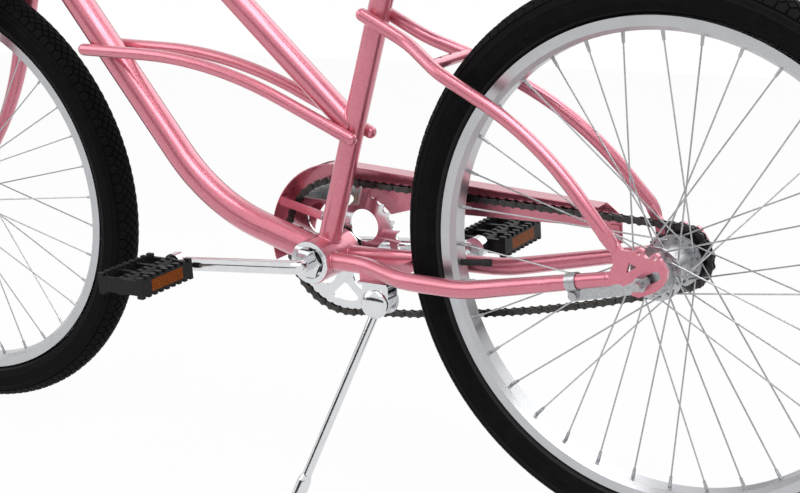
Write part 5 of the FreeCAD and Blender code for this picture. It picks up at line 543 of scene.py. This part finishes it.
class CRUISER_OT_saddle(bpy.types.Operator):
    """Pads the saddle's cover"""

    bl_idname = "cruiser.saddle"
    bl_label = "Saddle"

    def execute(self, context):
        sizes = context.scene.cruiser_sizes
        solid = bmesh.new()
        solid.from_mesh(frame["nodes"]["saddle_cover"].data)
        bmesh.ops.remove_doubles(solid, verts=solid.verts, dist=COVER_JOIN)
        cover = finished_piece("saddle_padding", solid, "seat", "saddle_vinyl")
        remesh = cover.modifiers.new("even_skin", "REMESH")
        remesh.mode = "VOXEL"
        remesh.voxel_size = COVER_VOXEL
        graph = bpy.context.evaluated_depsgraph_get()
        skin = bpy.data.meshes.new_from_object(cover.evaluated_get(graph))
        cover.modifiers.clear()
        cover.data = skin
        skin.materials.clear()
        skin.materials.append(finish_of("saddle_vinyl"))
        swollen(cover, sizes.cover_swell)
        skin.shade_smooth()
        soft = cover.modifiers.new("soft_skin", "SUBSURF")
        soft.levels = 1
        soft.render_levels = 1
        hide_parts("saddle_cover")
        return {"FINISHED"}


# ---------------------------------------------------------------- welds

MILLIMETRE = 0.001
HUB_TO_BRACKET = (471.3, -36.3)
HEAD_TUBE = ((954.7, 0, 374.6), (-0.3744, 0, 0.9273), 18.0)
SEAT_TUBE = ((471.3, 0, -36.3), (-0.3205, 0, 0.9473), 14.3)
BRACKET_SHELL = ((471.3, 0, -36.3), (0, 1, 0), 28.5)
# Each bead: a point on the tube, the way it runs to the joint, its radius, and what it is welded to.
BEADS = (
    ((645.4, 0, 350.35), (231.8, 0, 216.2), 15.9, HEAD_TUBE),
    ((645.4, 0, 350.35), (-231.8, 0, -216.2), 15.9, SEAT_TUBE),
    ((797.8, 0, 208.3), (293.7, 0, 382.7), 19.05, HEAD_TUBE),
    ((650.94, 0, 16.9), (-179.6, 0, -53.2), 19.05, BRACKET_SHELL),
    ((414.0, 0, 133.0), (0.3205, 0, -0.9473), 14.3, BRACKET_SHELL),
    ((397.3, 19.2, -36.3), (1, 0, 0), 11.1, BRACKET_SHELL),
    ((397.3, -19.2, -36.3), (1, 0, 0), 11.1, BRACKET_SHELL),
)
BEAD_POINTS = 64
BEAD_RADIUS = 1.7
BEAD_RIPPLE = (0.82, 1.12)


def bike_place():
    """Takes the upright bicycle's millimetres, from its rear hub, to where it leans on its stand."""
    hub = Vector(JOINTS["rear_wheel_spin"]["pos_m"])
    left = Vector(JOINTS["rear_wheel_spin"]["axis"]).normalized()
    to_bracket = Vector(JOINTS["crank_spin"]["pos_m"]) - hub
    to_bracket = (to_bracket - left * to_bracket.dot(left)).normalized()
    tilt = math.atan2(HUB_TO_BRACKET[1], HUB_TO_BRACKET[0])
    square = to_bracket.cross(left)
    ahead = to_bracket * math.cos(tilt) - square * math.sin(tilt)
    up = ahead.cross(left)
    turn = Matrix((ahead, left, up)).transposed().to_4x4()
    return Matrix.Translation(hub) @ turn @ Matrix.Scale(MILLIMETRE, 4)


def bead_line(start, run, radius, carrier):
    """Where a tube's outside meets the outside of the tube that carries it."""
    along = Vector(run).normalized()
    side = along.orthogonal().normalized()
    other = along.cross(side)
    base, axis, reach = Vector(carrier[0]), Vector(carrier[1]).normalized(), carrier[2]
    flat_run = along - axis * along.dot(axis)
    line = []
    for number in range(BEAD_POINTS):
        turn = 2 * math.pi * number / BEAD_POINTS
        point = Vector(start) + (side * math.cos(turn) + other * math.sin(turn)) * radius
        off = point - base
        off -= axis * off.dot(axis)
        square = flat_run.dot(flat_run)
        half = flat_run.dot(off)
        room = max(0.0, half * half - square * (off.dot(off) - reach * reach))
        line.append(point + along * ((-half - math.sqrt(room)) / square))
    return line


class CRUISER_OT_welds(bpy.types.Operator):
    """Lays the rippled weld beads round the ends of the frame's tubes"""

    bl_idname = "cruiser.welds"
    bl_label = "Weld beads"

    def execute(self, context):
        place = bike_place()
        curve = bpy.data.curves.new("weld_line", "CURVE")
        curve.dimensions = "3D"
        curve.bevel_depth = BEAD_RADIUS * MILLIMETRE
        curve.bevel_resolution = 2
        for bead in BEADS:
            line = bead_line(*bead)
            spline = curve.splines.new("POLY")
            spline.points.add(len(line) - 1)
            spline.use_cyclic_u = True
            for number, (point, spot) in enumerate(zip(spline.points, line)):
                point.co = (*(place @ spot), 1)
                point.radius = BEAD_RIPPLE[number % 2]
        drawn = bpy.data.objects.new("weld_line", curve)
        context.scene.collection.objects.link(drawn)
        graph = context.evaluated_depsgraph_get()
        laid = bmesh.new()
        laid.from_mesh(bpy.data.meshes.new_from_object(drawn.evaluated_get(graph)))
        bpy.data.objects.remove(drawn)
        beads = finished_piece("weld_beads", laid, "frame", "pink_paint")
        beads.data.shade_smooth()
        return {"FINISHED"}


# ---------------------------------------------------------------- fasteners and stand shell

# Each fastener, on the upright bicycle: its seat, the way its head stands, its width, height and sides.
FASTENERS = (
    ((375.3, 0, -47.4), (0, 0, 1), 13.0, 7.0, 6),
    ((478.3, -14.0, 9.8), (0.2238, 0.9747, 0.026), 8.5, 3.2, 24),
    ((88.5, -58.2, 11.0), (0, -1, 0), 8.5, 3.2, 24),
)
WASHER_SHARE = 1.55
WASHER_THICKNESS = 1.4
WASHER_BEVEL = WASHER_THICKNESS / 4
WASHER_SIDES = 32
HEAD_BEVEL = 0.9
HEAD_SHARP = 35
DRIVE_SHARE = 0.42
DRIVE_DEPTH = 1.2
DRIVE_DRAFT = 0.1
STAND_PIVOT = (375.3, 24.0, -80.0)
STAND_PIN = (-0.1401, 0.9792, 0.1045)
SHELL_OUT = 15.6
SHELL_RADIUS = 18.5
SHELL_BULGE = 8.0
SHELL_SIDES = 40
SHELL_SHARP = 40


def standing(seat, way):
    """Takes a shape made on Z to its seat on the upright bicycle."""
    turn = Vector((0, 0, 1)).rotation_difference(Vector(way).normalized()).to_matrix().to_4x4()
    return Matrix.Translation(Vector(seat)) @ turn


def add_disc(mesh, width, height, sides, bevel):
    """A round or six-sided disc standing on Z, with its upper rim rounded."""
    made = bmesh.ops.create_cone(mesh, cap_ends=True, segments=sides, radius1=width / 2, radius2=width / 2,
                                 depth=height, matrix=Matrix.Translation((0, 0, height / 2)))
    points = made["verts"]
    rim = {edge for point in points for edge in point.link_edges
           if all(end.co.z > height / 2 for end in edge.verts)}
    top = bmesh.ops.bevel(mesh, geom=list(rim), offset=bevel, segments=3, profile=0.5, affect="EDGES",
                          material=-1)
    whole = {point for face in top["faces"] for point in face.verts} | {p for p in points if p.is_valid}
    faces = {face for point in whole for face in point.link_faces}
    whole |= {point for face in faces for point in face.verts}
    cap = max(faces, key=lambda face: face.calc_center_median().z)
    return whole, cap


def add_fastener(mesh, seat, way, width, height, sides):
    """A washer and a head, with a drive sunk into its top."""
    place = standing(seat, way)
    washer, _ = add_disc(mesh, width * WASHER_SHARE, WASHER_THICKNESS, WASHER_SIDES, WASHER_BEVEL)
    bmesh.ops.transform(mesh, matrix=place, verts=list(washer))
    head, cap = add_disc(mesh, width, height, sides, HEAD_BEVEL)
    rim = width * (1 - DRIVE_SHARE) / 2 - HEAD_BEVEL
    sunk = bmesh.ops.inset_individual(mesh, faces=[cap], thickness=rim)
    down = bmesh.ops.inset_individual(mesh, faces=[cap], thickness=DRIVE_DRAFT, depth=-DRIVE_DEPTH)
    for ring in (sunk, down):
        head |= {point for face in ring["faces"] for point in face.verts}
    head |= set(cap.verts)
    lift = Matrix.Translation((0, 0, WASHER_THICKNESS))
    bmesh.ops.transform(mesh, matrix=place @ lift, verts=list(head))


class CRUISER_OT_fasteners(bpy.types.Operator):
    """Adds the stand's bolt and the screws of the chain guard"""

    bl_idname = "cruiser.fasteners"
    bl_label = "Fasteners"

    def execute(self, context):
        mesh = bmesh.new()
        for fastener in FASTENERS:
            add_fastener(mesh, *fastener)
        bmesh.ops.transform(mesh, matrix=bike_place(), verts=mesh.verts)
        heads = finished_piece("frame_fasteners", mesh, "frame", "zinc_steel")
        shade_smooth_by_angle(heads.data, HEAD_SHARP)
        return {"FINISHED"}


class CRUISER_OT_stand_shell(bpy.types.Operator):
    """Adds the two domed lobes of the kickstand's stamped shell"""

    bl_idname = "cruiser.stand_shell"
    bl_label = "Kickstand shell"

    def execute(self, context):
        mesh = bmesh.new()
        for side in (-1, 1):
            seat = Vector(STAND_PIVOT) + Vector(STAND_PIN) * (SHELL_OUT * side)
            lobe = bmesh.ops.create_uvsphere(mesh, u_segments=SHELL_SIDES, v_segments=SHELL_SIDES // 2,
                                             radius=1)["verts"]
            bmesh.ops.scale(mesh, vec=(SHELL_RADIUS, SHELL_RADIUS, SHELL_BULGE), verts=lobe)
            faces = {face for point in lobe for face in point.link_faces}
            geom = list(lobe) + list(faces) + list({edge for point in lobe for edge in point.link_edges})
            cut = bmesh.ops.bisect_plane(mesh, geom=geom, plane_co=(0, 0, 0), plane_no=(0, 0, 1),
                                         clear_inner=True)
            rim = [item for item in cut["geom_cut"] if isinstance(item, bmesh.types.BMEdge)]
            bmesh.ops.edgeloop_fill(mesh, edges=rim)
            kept = {point for point in cut["geom"]
                    if isinstance(point, bmesh.types.BMVert) and point.is_valid}
            kept |= {point for edge in rim for point in edge.verts}
            bmesh.ops.transform(mesh, matrix=standing(seat, Vector(STAND_PIN) * side), verts=list(kept))
        bmesh.ops.recalc_face_normals(mesh, faces=mesh.faces)
        bmesh.ops.transform(mesh, matrix=bike_place(), verts=mesh.verts)
        shell = finished_piece("kickstand_shell", mesh, "frame", "chrome_plate")
        shade_smooth_by_angle(shell.data, SHELL_SHARP)
        return {"FINISHED"}


# ---------------------------------------------------------------- seat stays

# The left stay's line on the upright bicycle, the radius of each bend, and the flattened sections of its foot.
STAY_LINE = ((374.51, 21.5, 277.55), (313.14, 21.5, 246.01), (258.0, 47.5, 217.67), (126.02, 55.94, 149.85),
             (46.0, 63.8, 53.8))
STAY_BENDS = (90.0, 90.0, 400.0)
STAY_WIDTH = 16.0
STAY_FOOT = (
    ((42.5, 62.8, 47.5), 17.0, 13.0),
    ((39.2, 61.4, 41.2), 16.0, 10.2),
    ((36.4, 60.2, 35.6), 13.0, 8.8),
    ((35.0, 59.8, 32.6), 9.0, 8.0),
)
STAY_ARC_STEPS = 14
STAY_SIDES = 36
# Angles of the rings that round the stay's top end.
STAY_DOME = (15, 35, 55, 75)
STAY_SHARP = 40


def rounded_line(line, bends, steps):
    """Points along a line whose inner corners are bent to a radius."""
    line = [Vector(point) for point in line]
    points = [line[0]]
    for before, corner, after, radius in zip(line, line[1:], line[2:], bends):
        back, on = (before - corner).normalized(), (after - corner).normalized()
        half = back.angle(on) / 2
        middle = corner + (back + on).normalized() * (radius / math.sin(half))
        reach = radius / math.tan(half)
        first = (corner + back * reach - middle).normalized()
        last = (corner + on * reach - middle).normalized()
        points += [middle + first.slerp(last, step / steps) * radius for step in range(steps + 1)]
    return points + [line[-1]]


def add_section(mesh, centre, along, width, thickness):
    """One oval ring across a stay; its thickness lies across the bicycle."""
    out = along.cross(Vector((0, 1, 0))).normalized()
    flat = out.cross(along).normalized()
    place = Matrix((out * (width / 2), flat * (thickness / 2), along)).transposed().to_4x4()
    place.translation = centre
    ring = bmesh.ops.create_circle(mesh, segments=STAY_SIDES, radius=1, matrix=place)["verts"]
    return list({edge for point in ring for edge in point.link_edges})


def add_stay(mesh):
    """The left stay: a domed top end, its bends, and a foot that flattens on to the dropout."""
    centres = rounded_line(STAY_LINE, STAY_BENDS, STAY_ARC_STEPS)
    down = (centres[1] - centres[0]).normalized()
    sections = []
    for turn in STAY_DOME:
        angle = math.radians(turn)
        wide = STAY_WIDTH * math.sin(angle)
        sections.append((centres[0] - down * (STAY_WIDTH / 2 * math.cos(angle)), wide, wide))
    sections += [(centre, STAY_WIDTH, STAY_WIDTH) for centre in centres]
    sections += [(Vector(centre), width, thickness) for centre, width, thickness in STAY_FOOT]
    places = [section[0] for section in sections]
    rings = []
    for index, (centre, width, thickness) in enumerate(sections):
        along = (places[min(index + 1, len(places) - 1)] - places[max(index - 1, 0)]).normalized()
        rings.append(add_section(mesh, centre, along, width, thickness))
        if index:
            bmesh.ops.bridge_loops(mesh, edges=rings[-2] + rings[-1])
    for end in (rings[0], rings[-1]):
        bmesh.ops.edgeloop_fill(mesh, edges=end)


class CRUISER_OT_stays(bpy.types.Operator):
    """Shows each seat stay as one smooth tube with a flattened foot"""

    bl_idname = "cruiser.stays"
    bl_label = "Seat stays"

    def execute(self, context):
        for side, sign in (("left", 1), ("right", -1)):
            mesh = bmesh.new()
            add_stay(mesh)
            bmesh.ops.scale(mesh, vec=(1, sign, 1), verts=mesh.verts)
            bmesh.ops.recalc_face_normals(mesh, faces=mesh.faces)
            bmesh.ops.transform(mesh, matrix=bike_place(), verts=mesh.verts)
            stay = finished_piece(side + "_seat_stay_tube", mesh, "frame", "pink_paint")
            shade_smooth_by_angle(stay.data, STAY_SHARP)
            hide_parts("seatstay_" + side)
        return {"FINISHED"}


# ---------------------------------------------------------------- stage

FLOOR_SIZE = 14.0
FLOOR_SHADE = 0.75
FLOOR_GLOW = 0.96
FLOOR_ROUGHNESS = 0.9
WORLD_LIGHT = 0.40
# Dark boards that only reflections show: their middle, their width and their height.
BOARDS = (
    ("near_board", (0, 4.2, 0.9), 9.0, 1.0),
    ("far_board", (0, -4.2, 0.9), 9.0, 1.0),
)
BOARD_GREY = 0.02
# Each lamp: its name, its place, its size and its power.
LAMPS = (
    ("key_lamp", (-1.2, 1.0, 3.2), 2.6, 84.0),
    ("side_lamp", (2.8, 2.0, 2.4), 2.4, 30.0),
    ("back_lamp", (-0.8, -2.8, 2.8), 2.8, 34.0),
)
LAMP_TARGET = (0, -0.05, 0.45)
SENSOR_WIDTH = 36


def aim(thing, target):
    thing.rotation_euler = (Vector(target) - thing.location).to_track_quat("-Z", "Y").to_euler()


def white_for_camera(tree, shader, colour, share):
    """Mixes a white glow into a shader for what the camera and mirrors see."""
    glow = tree.nodes.new("ShaderNodeEmission")
    glow.inputs["Color"].default_value = (*colour, 1)
    path = tree.nodes.new("ShaderNodeLightPath")
    seen = tree.nodes.new("ShaderNodeMath")
    seen.operation = "MAXIMUM"
    tree.links.new(path.outputs["Is Camera Ray"], seen.inputs[0])
    tree.links.new(path.outputs["Is Glossy Ray"], seen.inputs[1])
    through = tree.nodes.new("ShaderNodeMath")
    through.operation = "MAXIMUM"
    tree.links.new(seen.outputs[0], through.inputs[0])
    tree.links.new(path.outputs["Is Transmission Ray"], through.inputs[1])
    part = tree.nodes.new("ShaderNodeMath")
    part.operation = "MULTIPLY"
    part.inputs[1].default_value = share
    tree.links.new(through.outputs[0], part.inputs[0])
    mix = tree.nodes.new("ShaderNodeMixShader")
    tree.links.new(part.outputs[0], mix.inputs["Fac"])
    tree.links.new(shader, mix.inputs[1])
    tree.links.new(glow.outputs["Emission"], mix.inputs[2])
    return mix.outputs["Shader"]


def dark_board(name, middle, width, height):
    """An upright dark board, seen in reflections only, that gives plated metal its dark bands."""
    sheet = bmesh.new()
    bmesh.ops.create_grid(sheet, x_segments=1, y_segments=1, size=0.5)
    bmesh.ops.scale(sheet, vec=(width, height, 1), verts=sheet.verts)
    bmesh.ops.rotate(sheet, matrix=Matrix.Rotation(math.pi / 2, 3, "X"), verts=sheet.verts)
    bmesh.ops.translate(sheet, vec=middle, verts=sheet.verts)
    mesh = bpy.data.meshes.new(name)
    sheet.to_mesh(mesh)
    sheet.free()
    board = bpy.data.objects.new(name, mesh)
    bpy.context.scene.collection.objects.link(board)
    finish, _, shader = new_finish(name)
    shader.inputs["Base Color"].default_value = (BOARD_GREY, BOARD_GREY, BOARD_GREY, 1)
    shader.inputs["Roughness"].default_value = 1.0
    mesh.materials.append(finish)
    board.visible_camera = False
    board.visible_diffuse = False
    board.visible_shadow = False


class CRUISER_OT_stage(bpy.types.Operator):
    """Sets the pale floor, the soft lamps and the camera"""

    bl_idname = "cruiser.stage"
    bl_label = "Stage"

    def execute(self, context):
        scene = context.scene
        sizes, colours = scene.cruiser_sizes, scene.cruiser_colours
        floor_mesh = bmesh.new()
        bmesh.ops.create_grid(floor_mesh, x_segments=1, y_segments=1, size=FLOOR_SIZE / 2)
        mesh = bpy.data.meshes.new("floor")
        floor_mesh.to_mesh(mesh)
        floor_mesh.free()
        floor = bpy.data.objects.new("floor", mesh)
        scene.collection.objects.link(floor)
        finish, tree, shader = new_finish("floor")
        shader.inputs["Base Color"].default_value = (*scaled(colours.floor, FLOOR_SHADE), 1)
        shader.inputs["Roughness"].default_value = FLOOR_ROUGHNESS
        out = tree.nodes["Material Output"]
        glowing = white_for_camera(tree, shader.outputs["BSDF"], tuple(colours.floor), FLOOR_GLOW)
        tree.links.new(glowing, out.inputs["Surface"])
        mesh.materials.append(finish)
        for board in BOARDS:
            dark_board(*board)

        world = bpy.data.worlds.new("studio")
        world.use_nodes = True
        scene.world = world
        sky = world.node_tree.nodes["Background"]
        sky.inputs["Color"].default_value = (1, 1, 1, 1)
        sky.inputs["Strength"].default_value = WORLD_LIGHT
        white = white_for_camera(world.node_tree, sky.outputs["Background"], tuple(colours.floor), 1.0)
        world.node_tree.links.new(white, world.node_tree.nodes["World Output"].inputs["Surface"])

        for name, place, size, power in LAMPS:
            lamp = bpy.data.lights.new(name, "AREA")
            lamp.size = size
            lamp.energy = power
            thing = bpy.data.objects.new(name, lamp)
            thing.location = place
            aim(thing, LAMP_TARGET)
            scene.collection.objects.link(thing)

        lens = bpy.data.cameras.new("photo_camera")
        lens.sensor_fit = "HORIZONTAL"
        lens.sensor_width = SENSOR_WIDTH
        lens.lens = sizes.camera_lens
        camera = bpy.data.objects.new("photo_camera", lens)
        camera.location = sizes.camera_place
        camera.rotation_euler = sizes.camera_turn
        scene.collection.objects.link(camera)
        scene.camera = camera
        scene.view_settings.view_transform = "Standard"
        return {"FINISHED"}


# ---------------------------------------------------------------- add-on

OPERATORS = (CRUISER_OT_finishes, CRUISER_OT_tyres, CRUISER_OT_saddle, CRUISER_OT_welds,
             CRUISER_OT_fasteners, CRUISER_OT_stand_shell, CRUISER_OT_stays, CRUISER_OT_stage)


class CRUISER_PT_sidebar(bpy.types.Panel):
    """Lists the steps that dress the bicycle"""

    bl_idname = "CRUISER_PT_sidebar"
    bl_label = "Cruiser bicycle"
    bl_space_type = "VIEW_3D"
    bl_region_type = "UI"
    bl_category = "Cruiser"

    def draw(self, context):
        for step in OPERATORS:
            self.layout.operator(step.bl_idname)
        for group in (context.scene.cruiser_sizes, context.scene.cruiser_colours):
            for key in group.__annotations__:
                self.layout.prop(group, key)


CLASSES = (CruiserSizes, CruiserColours, *OPERATORS, CRUISER_PT_sidebar)


def register():
    for each in CLASSES:
        bpy.utils.register_class(each)
    bpy.types.Scene.cruiser_sizes = bpy.props.PointerProperty(type=CruiserSizes)
    bpy.types.Scene.cruiser_colours = bpy.props.PointerProperty(type=CruiserColours)


def unregister():
    del bpy.types.Scene.cruiser_colours
    del bpy.types.Scene.cruiser_sizes
    for each in reversed(CLASSES):
        bpy.utils.unregister_class(each)


def main():
    """Registers the add-on and runs its steps in order."""
    register()
    bpy.ops.cruiser.finishes()
    bpy.ops.cruiser.tyres()
    bpy.ops.cruiser.saddle()
    bpy.ops.cruiser.welds()
    bpy.ops.cruiser.fasteners()
    bpy.ops.cruiser.stand_shell()
    bpy.ops.cruiser.stays()
    bpy.ops.cruiser.stage()


if __name__ == "__main__":
    main()
